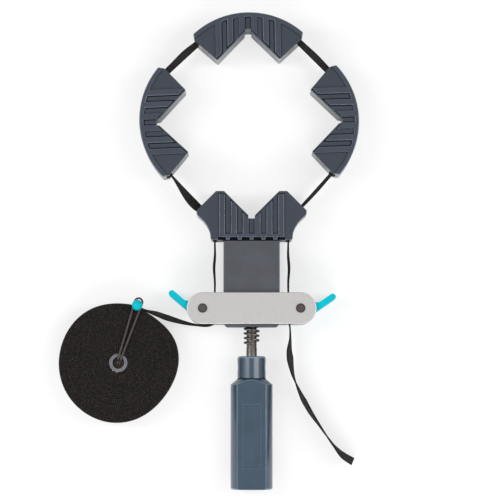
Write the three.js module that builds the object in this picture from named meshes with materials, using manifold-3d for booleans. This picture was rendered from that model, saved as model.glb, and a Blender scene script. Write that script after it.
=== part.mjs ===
// Band clamp with a spindle, two cam levers, one fixed and three loose V jaws, and its band
// rolled up beside it. It lies on its back: +Z is up, +Y runs from the handle to the jaws.
// Lengths are in millimetres. The origin is the middle of the back plate's outer face.

import * as THREE from 'three';
import * as BufferGeometryUtils from 'three/addons/utils/BufferGeometryUtils.js';
import Module from 'manifold-3d';

const wasm = await Module();
wasm.setup();

// Shared sizes
const DEPTH = 27;
const GAP = 0.3;
const OVERRUN = 2;
const MERGE_DISTANCE = 0.00001;

// Band
const BAND_WIDTH = 16;
const BAND_THICKNESS = 0.95;

// Slider: a thick-walled bar, open at its lower end
const SLIDER_WIDTH = 36.5;
const SLIDER_CLEARANCE = 0.4;
const SLIDER_TAIL = 11.9;
const SLIDER_CHAMFER = 2;
const SLIDER_END_WALL = 2.2;

// Block: two plates on two cheeks, held by the lever rivets
const PLATE_THICKNESS = 2;
const PLATE_END_RADIUS = 10.25;
const PLATE_EDGE = 0.35;
const CHEEK_THICKNESS = 4.65;
const CHEEK_HEIGHT = 18.8;
const CHEEK_SEAT_DEPTH = 0.9;
const RIVET_SHANK_RADIUS = 2.2;
const RIVET_HEAD_RADIUS = 3;
const RIVET_HEAD_HEIGHT = 0.6;
const RIVET_HEAD_EDGE = 0.35;
const RIVET_FOOT_HEIGHT = 0.6;

// Cam levers
const CAM_REACH = 7;
const CAM_THROW = 1;
const CAM_HEEL_ANGLE = 240;
const LEVER_THICKNESS = 4.2;
const LEVER_OFFSET = 5.6;
const LEVER_LENGTH = 23.5;
const LEVER_ROOT_REACH = 9.4;
const LEVER_ROOT_SLOPE = 3.2;
const LEVER_ROOT_RISE = 1.5;
const LEFT_LEVER_ANGLE = 40.5;
const RIGHT_LEVER_ANGLE = 34.3;

// Fixed jaw
const FIXED_JAW_STANDOFF = 44.3;
const FIXED_JAW_HEIGHT = 31.9;
const FIXED_JAW_HALF_WIDTH = 35.75;
const FIXED_JAW_TIP_START = 17.9;
const FIXED_JAW_TIP_WIDTH = 5.2;
const FIXED_JAW_FOOT_HALF_WIDTH = 26.65;
const FIXED_JAW_FOOT_CHAMFER = 1;
const FIXED_JAW_SIDE_HEIGHT = 2.4;
const FIXED_JAW_SIDE_CHAMFER = 1.8;
const FIXED_JAW_WAIST_RISE = 9;
const FIXED_JAW_SILL = 4;
const SLOT_HEIGHT = 1.8;
const SLOT_WIDTH = 5.1;
const SLOT_DEPTH = 3;

// Loose jaws, measured from the middle of the ring that the four jaws form. The ring's middle
// lies RING_RISE above the root of the fixed jaw's V.
const RING_RISE = 61.1;
const RING_SHIFT = -1.6;
const LEFT_JAW_LIFT = 1.3;
const LEFT_JAW_TILT_ANGLE = 2.5;
const TOP_JAW_TILT_ANGLE = 1;
const RIGHT_JAW_TILT_ANGLE = 1.5;
const JAW_REACH = 71.5;
const JAW_ARC_RADIUS = 53.3;
const JAW_ARC_HALF_ANGLE = 42.2;
const JAW_OUTER_WALL = 2.2;
const JAW_RIM = 2.9;
const JAW_CORNER_INSET = 0.9;
const JAW_CORNER_DROP = 4.2;
const JAW_V_WALL = 13;
const JAW_V_DEPTH = 18.1;
const NOTCH_HALF_WIDTH = 2.1;
const NOTCH_DEPTH = 2.1;

// Ribbed faces of all jaws
const LAND_COUNT = 6;
const LAND_PERIOD = 7.7;
const LAND_WIDTH = 4;
const LAND_SETBACK = 1.8;
const FIELD_DEPTH = 1.2;

// Band channels in the jaws
const CHANNEL_WIDTH = 4;
const CHANNEL_SIDE_CLEARANCE = 0.4;
const CHANNEL_HALF_SPAN = 70;
const FOOT_CHANNEL_INNER_PLAY = 1.2;
const FOOT_CHANNEL_OUTER_PLAY = 0.35;
const BAND_BEND_RADIUS = 12;
const BAND_BEND_RISE = 9.2;

// The band's straight run below the block's middle, before it bends away
const LEAD_EXIT = 7;
const TAIL_EXIT = 6;

// Spindle and its thread
const THREAD_PITCH = 3;
const THREAD_TURNS = 22;
const THREAD_CREST_RADIUS = 5.2;
const THREAD_ROOT_RADIUS = 3.3;
const THREAD_CREST_WIDTH = 0.9;
const THREAD_FLANK_WIDTH = 0.5;
const SHANK_RADIUS = 3.5;
const SHANK_INSERTION = 64;
const NECK_RADIUS = 3;
const NECK_REACH = 4.4;
const WASHER_RADIUS = 6.5;
const WASHER_THICKNESS = 1;
const RETAINER_RADIUS = 6;
const RETAINER_THICKNESS = 1.1;
const RETAINER_OPENING = 70;
const PAD_RADIUS = 7.6;
const PAD_THICKNESS = 1.5;

// Nut
const NUT_HALF_WIDTH = 9.2;
const NUT_HALF_DEPTH = 7.3;
const NUT_HEIGHT = 14;
const NUT_ARM_SECTION = 8;
const NUT_THREAD_TURNS = 10;

// Jaw screws
const SCREW_LINE = 13.5;
const SCREW_SHANK_RADIUS = 1.9;
const SCREW_HEAD_RADIUS = 3.3;
const SCREW_HEAD_HEIGHT = 2.2;
const SCREW_LENGTH = 12;

// Handle
const HANDLE_TOP = -30.9;
const HANDLE_LENGTH = 86.5;
const COLLAR_LENGTH = 14.8;
const COLLAR_RADIUS = 9.15;
const COLLAR_ROUNDING = 0.8;
const SHOULDER_LENGTH = 3.6;
const HANDLE_RADIUS = 13.65;
const HANDLE_FLAT_DISTANCE = 9.9;
const HANDLE_END_CHAMFER = 0.8;
const PANEL_WIDTH = 10.6;
const PANEL_LENGTH = 40.8;
const PANEL_DEPTH = 0.4;
const PANEL_RISE = 14.3;
const HANDLE_PIN_RADIUS = 1.5;
const HANDLE_PIN_DROP = 7.1;

// Roll of spare band with its core, elastic and ball
const ROLL_X = -86.7;
const ROLL_Y = -35.2;
const ROLL_RADIUS = 38.7;
const ROLL_PITCH = 1.4;
const ROLL_START_ANGLE = 64.9;
const CORE_RADIUS = 6.1;
const CORE_BORE_RADIUS = 3.75;
const ELASTIC_RADIUS = 0.65;
const STRAND_HALF_SPACING = 0.95;
const BALL_RADIUS = 3.5;
const BALL_NECK_RADIUS = 1.4;
const BALL_NECK_HEIGHT = 1.8;
const BALL_ANGLE = 71.5;
const BALL_OVERHANG = 0.6;
const LOOP_REACH = 4.85;

// Steps of the round shapes
const FINE_STEPS = 48;
const MEDIUM_STEPS = 28;
const SMALL_STEPS = 16;
const ARC_STEPS = 12;
const CURVE_STEPS = 22;
const THREAD_STEPS = 16;
const ROLL_STEPS = 20;
const TURN_STEPS = 12;
const BEND_STEPS = 5;
const CHORD_STEPS = 4;
const TUBE_SIDES = 8;
const BALL_STEPS = 9;
const STRIP_STEPS_PER_POINT = 3;

// Places that follow from the sizes above
const MIDDLE = DEPTH / 2;
const SLIDER_HALF = SLIDER_WIDTH / 2;
const SLIDER_BACK = PLATE_THICKNESS + SLIDER_CLEARANCE;
const SLIDER_FRONT = DEPTH - SLIDER_BACK;
const FIXED_JAW_TOP = FIXED_JAW_STANDOFF + FIXED_JAW_HEIGHT;
const FIXED_V_BASE = FIXED_JAW_TOP - (FIXED_JAW_TIP_START - NOTCH_HALF_WIDTH);
const RING_HEIGHT = FIXED_V_BASE + RING_RISE;
const SLIDER_TOP = FIXED_JAW_STANDOFF - GAP;
const CAVITY_TOP = SLIDER_TOP - SLIDER_END_WALL;
const CHEEK_INNER = SLIDER_HALF + GAP;
const CHEEK_OUTER = CHEEK_INNER + CHEEK_THICKNESS;
const BAND_LINE = CHEEK_OUTER + GAP + BAND_THICKNESS / 2;
const RIVET_LINE = BAND_LINE + BAND_THICKNESS / 2 + GAP + CAM_REACH;
const ARM_HALF = NUT_ARM_SECTION / 2;
const THREAD_TOP = CAVITY_TOP - WASHER_THICKNESS - 2 * GAP;
const THREAD_START = THREAD_TOP - THREAD_TURNS * THREAD_PITCH;
const NECK_TOP = FIXED_JAW_STANDOFF + NECK_REACH;
const PAD_POCKET_TOP = NECK_TOP + PAD_THICKNESS + 2 * GAP;
const SCREW_TIP = CAVITY_TOP - GAP + SCREW_LENGTH;
const CHANNEL_BACK = MIDDLE - BAND_WIDTH / 2 - CHANNEL_SIDE_CLEARANCE;
const CHANNEL_FRONT = MIDDLE + BAND_WIDTH / 2 + CHANNEL_SIDE_CLEARANCE;

// Materials
function material(color, roughness, metalness) {
  return new THREE.MeshStandardMaterial({ color, roughness, metalness });
}
const jawPlastic = material(0x4a5260, 0.55, 0);
const sliderPlastic = material(0x53565d, 0.6, 0);
const handlePlastic = material(0x4b5c6b, 0.35, 0);
const turquoisePlastic = material(0x00b9c9, 0.4, 0);
const plateSteel = material(0xc1c1bf, 0.5, 0.6);
const rivetSteel = material(0x5f5755, 0.45, 0.8);
const spindleSteel = material(0x6e6864, 0.35, 0.9);
const brightSteel = material(0x9a9b9d, 0.35, 0.9);
const coreGrey = material(0x77797d, 0.6, 0);
const bandFabric = material(0x26211f, 0.95, 0);
const elasticFabric = material(0x55514e, 0.9, 0);

const group = new THREE.Group();

function add(name, geometry, finish, place = group) {
  const mesh = new THREE.Mesh(geometry, finish);
  mesh.name = name;
  place.add(mesh);
  return mesh;
}

const radians = THREE.MathUtils.degToRad;

// Cutting and joining

function toSolid(geometry) {
  const bare = geometry.clone();
  bare.deleteAttribute('normal');
  bare.deleteAttribute('uv');
  const merged = BufferGeometryUtils.mergeVertices(bare, MERGE_DISTANCE);
  const corners = merged.index.array;
  const kept = [];
  for (let i = 0; i < corners.length; i += 3) {
    const [a, b, c] = [corners[i], corners[i + 1], corners[i + 2]];
    if (a !== b && b !== c && c !== a) kept.push(a, b, c);
  }
  return new wasm.Manifold(new wasm.Mesh({
    numProp: 3,
    vertProperties: Float32Array.from(merged.attributes.position.array),
    triVerts: Uint32Array.from(kept),
  }));
}

function toGeometry(solid) {
  const mesh = solid.getMesh();
  const geometry = new THREE.BufferGeometry();
  geometry.setAttribute('position', new THREE.BufferAttribute(mesh.vertProperties, mesh.numProp));
  geometry.setIndex(new THREE.BufferAttribute(mesh.triVerts, 1));
  geometry.computeVertexNormals();
  return geometry;
}

function cut(body, cutters) {
  let solid = toSolid(body);
  for (const cutter of cutters) solid = solid.subtract(toSolid(cutter));
  return toGeometry(solid);
}

function join(first, second) {
  return toGeometry(toSolid(first).add(toSolid(second)));
}

function fromTriangles(positions, triangles) {
  const geometry = new THREE.BufferGeometry();
  geometry.setAttribute('position', new THREE.Float32BufferAttribute(positions, 3));
  geometry.setIndex(triangles);
  geometry.computeVertexNormals();
  return geometry;
}

// Plain shapes

function outline(points) {
  return new THREE.Shape(points.map(([x, y]) => new THREE.Vector2(x, y)));
}

function prism(shape, back, front, edge = 0) {
  const geometry = new THREE.ExtrudeGeometry(shape, {
    depth: front - back - 2 * edge,
    curveSegments: CURVE_STEPS,
    bevelEnabled: edge > 0,
    bevelSize: edge,
    bevelThickness: edge,
    bevelOffset: -edge,
    bevelSegments: 1,
  });
  geometry.translate(0, 0, back + edge);
  return geometry;
}

function block(x0, x1, y0, y1, z0, z1) {
  const geometry = new THREE.BoxGeometry(Math.abs(x1 - x0), y1 - y0, z1 - z0);
  geometry.translate((x0 + x1) / 2, (y0 + y1) / 2, (z0 + z1) / 2);
  return geometry;
}

function turned(profile, steps) {
  return new THREE.LatheGeometry(profile.map(([radius, along]) => new THREE.Vector2(radius, along)), steps);
}

// A round body about a line along Y at height MIDDLE, from [radius, y] points.
function turnedAlongY(profile, steps, x = 0) {
  return turned(profile, steps).translate(x, 0, MIDDLE);
}

// A round body about a line along Z through (x, y), from [radius, z] points.
function turnedAlongZ(profile, steps, x, y) {
  return turned(profile, steps).rotateX(Math.PI / 2).translate(x, y, 0);
}

function cylinderProfile(radius, from, to) {
  return [[0, from], [radius, from], [radius, to], [0, to]];
}

function cylinderAlongX(radius, x0, x1, y) {
  const geometry = new THREE.CylinderGeometry(radius, radius, x1 - x0, SMALL_STEPS);
  return geometry.rotateZ(Math.PI / 2).translate((x0 + x1) / 2, y, MIDDLE);
}

function arc(x, y, radius, from, to, steps) {
  const points = [];
  for (let i = 0; i <= steps; i += 1) {
    const angle = radians(from + ((to - from) * i) / steps);
    points.push([x + radius * Math.cos(angle), y + radius * Math.sin(angle)]);
  }
  return points;
}

// A flat strip through stations, closed at both ends. A station has a place, the heading of
// travel in the XY plane, and a lean about it. At a lean of 0 the strip's width stands along Z.
function strip(stations) {
  const positions = [];
  const triangles = [];
  const corners = [[-1, -1], [1, -1], [1, 1], [-1, 1]];
  const count = corners.length;
  const up = new THREE.Vector3(0, 0, 1);
  for (const { x, y, z, heading, lean } of stations) {
    const left = new THREE.Vector3(-Math.sin(heading), Math.cos(heading), 0);
    const across = up.clone().multiplyScalar(Math.cos(lean)).addScaledVector(left, Math.sin(lean));
    const through = left.clone().multiplyScalar(Math.cos(lean)).addScaledVector(up, -Math.sin(lean));
    for (const [a, t] of corners) {
      const point = new THREE.Vector3(x, y, z)
        .addScaledVector(across, (a * BAND_WIDTH) / 2)
        .addScaledVector(through, (t * BAND_THICKNESS) / 2);
      positions.push(point.x, point.y, point.z);
    }
  }
  for (let i = 0; i + 1 < stations.length; i += 1) {
    for (let j = 0; j < count; j += 1) {
      const a = i * count + j;
      const b = i * count + ((j + 1) % count);
      triangles.push(a, a + count, b, b, a + count, b + count);
    }
  }
  const end = (stations.length - 1) * count;
  triangles.push(0, 1, 2, 0, 2, 3, end, end + 2, end + 1, end, end + 3, end + 2);
  return fromTriangles(positions, triangles);
}

// A curve that is stepped evenly from point to point instead of by length, so that close
// points make a close bend.
class RouteCurve extends THREE.CatmullRomCurve3 {
  getUtoTmapping(share) {
    return share;
  }
}

function routeCurve(points) {
  return new RouteCurve(points.map(([x, y, z]) => new THREE.Vector3(x, y, z)), false, 'centripetal');
}

// Stations along a route of [x, y, z, lean in degrees] points.
function stationsAlong(route) {
  const curve = routeCurve(route);
  const steps = (route.length - 1) * STRIP_STEPS_PER_POINT;
  const stations = [];
  for (let i = 0; i <= steps; i += 1) {
    const { x, y, z } = curve.getPoint(i / steps);
    const tangent = curve.getTangent(i / steps);
    const before = Math.min(Math.floor(i / STRIP_STEPS_PER_POINT), route.length - 2);
    const share = i / STRIP_STEPS_PER_POINT - before;
    const lean = THREE.MathUtils.lerp(route[before][3], route[before + 1][3], share);
    stations.push({ x, y, z, heading: Math.atan2(tangent.y, tangent.x), lean: radians(lean) });
  }
  return stations;
}

function addForBothSides(names, build) {
  build(names[0], -1);
  build(names[1], 1);
}

// Block

function plateOutline() {
  const shape = new THREE.Shape();
  shape.moveTo(-RIVET_LINE, -PLATE_END_RADIUS);
  shape.lineTo(RIVET_LINE, -PLATE_END_RADIUS);
  shape.absarc(RIVET_LINE, 0, PLATE_END_RADIUS, -Math.PI / 2, Math.PI / 2);
  shape.lineTo(-RIVET_LINE, PLATE_END_RADIUS);
  shape.absarc(-RIVET_LINE, 0, PLATE_END_RADIUS, Math.PI / 2, (3 * Math.PI) / 2);
  return shape;
}

// A plate with its rivet holes and, on its inner face, the seats of the cheeks.
function plate(back, front, seatBack, seatFront, sinks) {
  const cutters = [...sinks];
  const seatHalf = CHEEK_HEIGHT / 2 + GAP;
  for (const side of [-1, 1]) {
    const hole = cylinderProfile(RIVET_SHANK_RADIUS + GAP, back - OVERRUN, front + OVERRUN);
    cutters.push(turnedAlongZ(hole, SMALL_STEPS, side * RIVET_LINE, 0));
    const [inner, outer] = [side * (CHEEK_INNER - GAP), side * (CHEEK_OUTER + GAP)];
    cutters.push(block(inner, outer, -seatHalf, seatHalf, seatBack, seatFront));
  }
  return cut(prism(plateOutline(), back, front, PLATE_EDGE), cutters);
}

function addPlates() {
  const innerFront = DEPTH - PLATE_THICKNESS;
  const front = plate(innerFront, DEPTH, innerFront - OVERRUN, innerFront + CHEEK_SEAT_DEPTH, []);
  add('front_plate', front, plateSteel);
  const sinkDepth = GAP + RIVET_FOOT_HEIGHT + GAP;
  const sinks = [-1, 1].map((side) => turnedAlongZ(
    cylinderProfile(RIVET_HEAD_RADIUS + GAP, -OVERRUN, sinkDepth), SMALL_STEPS, side * RIVET_LINE, 0));
  const back = plate(0, PLATE_THICKNESS, PLATE_THICKNESS - CHEEK_SEAT_DEPTH, PLATE_THICKNESS + OVERRUN, sinks);
  add('back_plate', back, plateSteel);
}

// The rivet's front head stands proud, and its foot is sunk in the back plate.
function addRivet(name, side) {
  const headBase = DEPTH + GAP;
  const headTop = headBase + RIVET_HEAD_HEIGHT;
  const rivet = turnedAlongZ([
    [0, GAP],
    [RIVET_HEAD_RADIUS, GAP],
    [RIVET_HEAD_RADIUS, GAP + RIVET_FOOT_HEIGHT],
    [RIVET_SHANK_RADIUS, GAP + RIVET_FOOT_HEIGHT],
    [RIVET_SHANK_RADIUS, headBase],
    [RIVET_HEAD_RADIUS, headBase],
    [RIVET_HEAD_RADIUS, headTop - RIVET_HEAD_EDGE],
    [RIVET_HEAD_RADIUS - RIVET_HEAD_EDGE, headTop],
    [0, headTop],
  ], MEDIUM_STEPS, side * RIVET_LINE, 0);
  add(name, rivet, rivetSteel);
}

// A spacer between the plates, with a window for the nut's arm.
function addCheek(name, side) {
  const seat = PLATE_THICKNESS - CHEEK_SEAT_DEPTH + GAP;
  const half = CHEEK_HEIGHT / 2;
  const body = block(side * CHEEK_INNER, side * CHEEK_OUTER, -half, half, seat, DEPTH - seat);
  const windowHalf = ARM_HALF + GAP;
  const window = block(
    side * (CHEEK_INNER - OVERRUN), side * (CHEEK_OUTER + OVERRUN),
    -windowHalf, windowHalf, MIDDLE - windowHalf, MIDDLE + windowHalf);
  add(name, cut(body, [window]), brightSteel);
}

// Cam levers. The outline is drawn about the rivet with the arm along +X and the cam's throw
// towards the band. Then it is turned to its place, and the left one is turned over.
function leverOutline(armAngle) {
  const camRadius = CAM_REACH - CAM_THROW;
  const towardsBand = radians(180 - armAngle);
  const camX = CAM_THROW * Math.cos(towardsBand);
  const camY = CAM_THROW * Math.sin(towardsBand);
  const tipRadius = LEVER_THICKNESS / 2;
  const tipX = LEVER_LENGTH - tipRadius;
  const upperEdge = tipRadius - LEVER_OFFSET;
  const rootMeetsCam = Math.asin((upperEdge + LEVER_ROOT_RISE - camY) / camRadius);
  const shape = new THREE.Shape();
  shape.moveTo(0, -LEVER_OFFSET - tipRadius);
  shape.lineTo(tipX, -LEVER_OFFSET - tipRadius);
  shape.absarc(tipX, -LEVER_OFFSET, tipRadius, -Math.PI / 2, Math.PI / 2);
  shape.lineTo(LEVER_ROOT_REACH + LEVER_ROOT_SLOPE, upperEdge);
  shape.lineTo(LEVER_ROOT_REACH, upperEdge + LEVER_ROOT_RISE);
  shape.absarc(camX, camY, camRadius, rootMeetsCam, radians(CAM_HEEL_ANGLE));
  return shape;
}

function addLever(name, side, armAngle) {
  const bore = turnedAlongZ(
    cylinderProfile(RIVET_SHANK_RADIUS + GAP, -OVERRUN, DEPTH + OVERRUN), SMALL_STEPS, 0, 0);
  const lever = cut(prism(leverOutline(armAngle), SLIDER_BACK, SLIDER_FRONT), [bore]);
  lever.rotateZ(radians(armAngle));
  if (side < 0) lever.rotateY(Math.PI).translate(0, 0, DEPTH);
  lever.translate(side * RIVET_LINE, 0, 0);
  add(name, lever, turquoisePlastic);
}

// Slider and the screws that hold it to the fixed jaw

function addSlider() {
  const body = prism(outline([
    [-SLIDER_HALF + SLIDER_CHAMFER, -SLIDER_TAIL],
    [SLIDER_HALF - SLIDER_CHAMFER, -SLIDER_TAIL],
    [SLIDER_HALF, SLIDER_CHAMFER - SLIDER_TAIL],
    [SLIDER_HALF, SLIDER_TOP],
    [-SLIDER_HALF, SLIDER_TOP],
    [-SLIDER_HALF, SLIDER_CHAMFER - SLIDER_TAIL],
  ]), SLIDER_BACK, SLIDER_FRONT);
  const below = -SLIDER_TAIL - OVERRUN;
  const cavityX = NUT_HALF_WIDTH + GAP;
  const cavityZ = NUT_HALF_DEPTH + GAP;
  const cavity = block(-cavityX, cavityX, below, CAVITY_TOP, MIDDLE - cavityZ, MIDDLE + cavityZ);
  const slotX = SLIDER_HALF + OVERRUN;
  const slotZ = ARM_HALF + GAP;
  const armSlot = block(-slotX, slotX, below, CAVITY_TOP, MIDDLE - slotZ, MIDDLE + slotZ);
  const hole = (radius, x) => turnedAlongY(
    cylinderProfile(radius + GAP, CAVITY_TOP - OVERRUN, SLIDER_TOP + OVERRUN), SMALL_STEPS, x);
  add('slider', cut(body, [
    cavity,
    armSlot,
    hole(NECK_RADIUS, 0),
    hole(SCREW_SHANK_RADIUS, -SCREW_LINE),
    hole(SCREW_SHANK_RADIUS, SCREW_LINE),
  ]), sliderPlastic);
}

function addJawScrew(name, side) {
  const seat = CAVITY_TOP - GAP;
  const screw = turnedAlongY([
    [0, seat - SCREW_HEAD_HEIGHT],
    [SCREW_HEAD_RADIUS, seat - SCREW_HEAD_HEIGHT],
    [SCREW_HEAD_RADIUS, seat],
    [SCREW_SHANK_RADIUS, seat],
    [SCREW_SHANK_RADIUS, SCREW_TIP - SCREW_SHANK_RADIUS],
    [0, SCREW_TIP],
  ], SMALL_STEPS, side * SCREW_LINE);
  add(name, screw, brightSteel);
}

// Jaw faces: a sunk field round raised lands, on the front and on the back. edgeOf gives the
// height of the V's 45 degree edge at a distance from the jaw's middle.
function landOutlines(edgeOf, setback, farEnd) {
  const lands = [];
  for (let index = 0; index < LAND_COUNT; index += 1) {
    const centre = (index - (LAND_COUNT - 1) / 2) * LAND_PERIOD;
    const [left, right] = [centre - LAND_WIDTH / 2, centre + LAND_WIDTH / 2];
    lands.push(outline([
      [left, farEnd],
      [left, edgeOf(Math.abs(left)) + setback],
      [right, edgeOf(Math.abs(right)) + setback],
      [right, farEnd],
    ]));
  }
  return lands;
}

function fieldCutters(field, lands) {
  const faces = [[-OVERRUN, FIELD_DEPTH], [DEPTH - FIELD_DEPTH, DEPTH + OVERRUN]];
  return faces.map(([back, front]) => cut(
    prism(field, back, front),
    lands.map((land) => prism(land, back - OVERRUN, front + OVERRUN))));
}

// Loose jaws, drawn as the top one with the origin in the ring's middle

const JAW_ARC_CENTRE = JAW_REACH - JAW_ARC_RADIUS;
const JAW_V_BASE = JAW_REACH - JAW_V_WALL;
const JAW_TIP_HEIGHT = JAW_V_BASE - JAW_V_DEPTH;
const CHANNEL_OUTER_RADIUS = JAW_ARC_RADIUS - JAW_OUTER_WALL;
const CHANNEL_INNER_RADIUS = CHANNEL_OUTER_RADIUS - CHANNEL_WIDTH;
const BAND_ARC_RADIUS = CHANNEL_INNER_RADIUS + GAP + BAND_THICKNESS / 2;

function looseJawOutline() {
  const endAngle = radians(JAW_ARC_HALF_ANGLE);
  const cornerX = JAW_ARC_RADIUS * Math.sin(endAngle);
  const cornerY = JAW_ARC_CENTRE + JAW_ARC_RADIUS * Math.cos(endAngle);
  const right = [
    [NOTCH_HALF_WIDTH, JAW_V_BASE + NOTCH_DEPTH],
    [NOTCH_HALF_WIDTH, JAW_V_BASE],
    [NOTCH_HALF_WIDTH + JAW_V_DEPTH, JAW_TIP_HEIGHT],
    [cornerX - JAW_CORNER_INSET, cornerY - JAW_CORNER_DROP],
  ];
  const left = right.map(([x, y]) => [-x, y]).reverse();
  const top = arc(
    0, JAW_ARC_CENTRE, JAW_ARC_RADIUS,
    90 - JAW_ARC_HALF_ANGLE, 90 + JAW_ARC_HALF_ANGLE, 2 * ARC_STEPS);
  return outline([...right, ...top, ...left]);
}

function looseJawGeometry(tilt) {
  const fieldRadius = JAW_ARC_RADIUS - JAW_RIM;
  const below = JAW_TIP_HEIGHT - OVERRUN;
  const fieldStart = THREE.MathUtils.radToDeg(Math.asin((below - JAW_ARC_CENTRE) / fieldRadius));
  const field = outline(arc(0, JAW_ARC_CENTRE, fieldRadius, fieldStart, 180 - fieldStart, 3 * ARC_STEPS));
  const lands = landOutlines((distance) => JAW_V_BASE + NOTCH_HALF_WIDTH - distance, LAND_SETBACK, JAW_REACH);
  const [from, to] = [90 - CHANNEL_HALF_SPAN, 90 + CHANNEL_HALF_SPAN];
  const channel = prism(outline([
    ...arc(0, JAW_ARC_CENTRE, CHANNEL_OUTER_RADIUS, from, to, 2 * ARC_STEPS),
    ...arc(0, JAW_ARC_CENTRE, CHANNEL_INNER_RADIUS, to, from, 2 * ARC_STEPS),
  ]), CHANNEL_BACK, CHANNEL_FRONT);
  const jaw = cut(prism(looseJawOutline(), 0, DEPTH), [channel, ...fieldCutters(field, lands)]);
  return jaw.translate(0, -JAW_ARC_CENTRE, 0).rotateZ(radians(tilt)).translate(0, JAW_ARC_CENTRE, 0);
}

// Each loose jaw sits on the band a little askew: it is tilted about the middle of its arc.
function addLooseJaws() {
  const ring = new THREE.Group();
  ring.position.set(RING_SHIFT, RING_HEIGHT, 0);
  group.add(ring);
  const jaws = [
    ['left_jaw', 90, LEFT_JAW_TILT_ANGLE, LEFT_JAW_LIFT],
    ['top_jaw', 0, TOP_JAW_TILT_ANGLE, 0],
    ['right_jaw', -90, RIGHT_JAW_TILT_ANGLE, 0],
  ];
  for (const [name, turn, tilt, lift] of jaws) {
    const jaw = add(name, looseJawGeometry(tilt), jawPlastic, ring);
    jaw.rotation.z = radians(turn);
    jaw.position.y = lift;
  }
}

// The band's route round the jaws: up the left side and down the right side. Each turn is a
// circle with the sense of travel round it, where 1 is anticlockwise.

const loopTurns = [
  { x: -BAND_LINE - BAND_BEND_RADIUS, y: FIXED_JAW_STANDOFF + BAND_BEND_RISE, radius: BAND_BEND_RADIUS, sense: 1 },
  { x: RING_SHIFT - JAW_ARC_CENTRE, y: RING_HEIGHT + LEFT_JAW_LIFT, radius: BAND_ARC_RADIUS, sense: -1 },
  { x: RING_SHIFT, y: RING_HEIGHT + JAW_ARC_CENTRE, radius: BAND_ARC_RADIUS, sense: -1 },
  { x: RING_SHIFT + JAW_ARC_CENTRE, y: RING_HEIGHT, radius: BAND_ARC_RADIUS, sense: -1 },
  { x: BAND_LINE + BAND_BEND_RADIUS, y: FIXED_JAW_STANDOFF + BAND_BEND_RISE, radius: BAND_BEND_RADIUS, sense: 1 },
];

// The heading of the straight band between two turns.
function headingBetween(from, to) {
  const distance = Math.hypot(to.x - from.x, to.y - from.y);
  const bearing = Math.atan2(to.y - from.y, to.x - from.x);
  return bearing - Math.asin((to.sense * to.radius - from.sense * from.radius) / distance);
}

// The station on a turn where the band has the given heading.
function stationOn(turn, heading) {
  return {
    x: turn.x + turn.sense * turn.radius * Math.sin(heading),
    y: turn.y - turn.sense * turn.radius * Math.cos(heading),
    z: MIDDLE,
    heading,
    lean: 0,
  };
}

function loopHeadings() {
  const headings = [Math.PI / 2];
  for (let i = 0; i + 1 < loopTurns.length; i += 1) {
    headings.push(headingBetween(loopTurns[i], loopTurns[i + 1]));
  }
  headings.push(-Math.PI / 2);
  return headings;
}

function loopStations() {
  const headings = loopHeadings();
  const stations = [];
  loopTurns.forEach((turn, index) => {
    const [from, to] = [headings[index], headings[index + 1]];
    const first = stationOn(turn, from);
    const last = stations[stations.length - 1] ?? { ...first, y: FIXED_JAW_STANDOFF };
    if (index === 0) stations.push(last);
    for (let i = 1; i < CHORD_STEPS; i += 1) {
      const share = i / CHORD_STEPS;
      const x = THREE.MathUtils.lerp(last.x, first.x, share);
      const y = THREE.MathUtils.lerp(last.y, first.y, share);
      stations.push({ ...first, x, y });
    }
    const steps = turn.sense > 0 ? BEND_STEPS : TURN_STEPS;
    for (let i = 0; i <= steps; i += 1) stations.push(stationOn(turn, from + ((to - from) * i) / steps));
  });
  stations.push({ ...stations[stations.length - 1], y: FIXED_JAW_STANDOFF });
  return stations;
}

function addBandLoop() {
  add('band_loop', strip(loopStations()), bandFabric);
}

function addBandRun(name, side) {
  const ends = [PLATE_END_RADIUS + GAP, FIXED_JAW_STANDOFF - GAP];
  const stations = ends.map((y) => ({ x: side * BAND_LINE, y, z: MIDDLE, heading: Math.PI / 2, lean: 0 }));
  add(name, strip(stations), bandFabric);
}

// Fixed jaw

function fixedJawOutline() {
  const tipEnd = FIXED_JAW_TIP_START + FIXED_JAW_TIP_WIDTH;
  const slopeFoot = FIXED_JAW_TOP - (FIXED_JAW_HALF_WIDTH - tipEnd);
  const sideFoot = slopeFoot - FIXED_JAW_SIDE_HEIGHT;
  const shoulder = [FIXED_JAW_HALF_WIDTH - FIXED_JAW_SIDE_CHAMFER, sideFoot - FIXED_JAW_SIDE_CHAMFER];
  const waist = [FIXED_JAW_FOOT_HALF_WIDTH, FIXED_JAW_STANDOFF + FIXED_JAW_WAIST_RISE];
  const foot = [FIXED_JAW_FOOT_HALF_WIDTH, FIXED_JAW_STANDOFF + FIXED_JAW_FOOT_CHAMFER];
  const upper = [
    [FIXED_JAW_HALF_WIDTH, sideFoot],
    [FIXED_JAW_HALF_WIDTH, slopeFoot],
    [tipEnd, FIXED_JAW_TOP],
    [FIXED_JAW_TIP_START, FIXED_JAW_TOP],
    [NOTCH_HALF_WIDTH, FIXED_V_BASE],
    [NOTCH_HALF_WIDTH, FIXED_V_BASE - NOTCH_DEPTH],
  ];
  const shape = new THREE.Shape();
  shape.moveTo(foot[0] - FIXED_JAW_FOOT_CHAMFER, FIXED_JAW_STANDOFF);
  shape.lineTo(foot[0], foot[1]);
  shape.quadraticCurveTo(waist[0], waist[1], shoulder[0], shoulder[1]);
  for (const [x, y] of upper) shape.lineTo(x, y);
  for (const [x, y] of upper.reverse()) shape.lineTo(-x, y);
  shape.lineTo(-shoulder[0], shoulder[1]);
  shape.quadraticCurveTo(-waist[0], waist[1], -foot[0], foot[1]);
  shape.lineTo(FIXED_JAW_FOOT_CHAMFER - foot[0], FIXED_JAW_STANDOFF);
  return shape;
}

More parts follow.
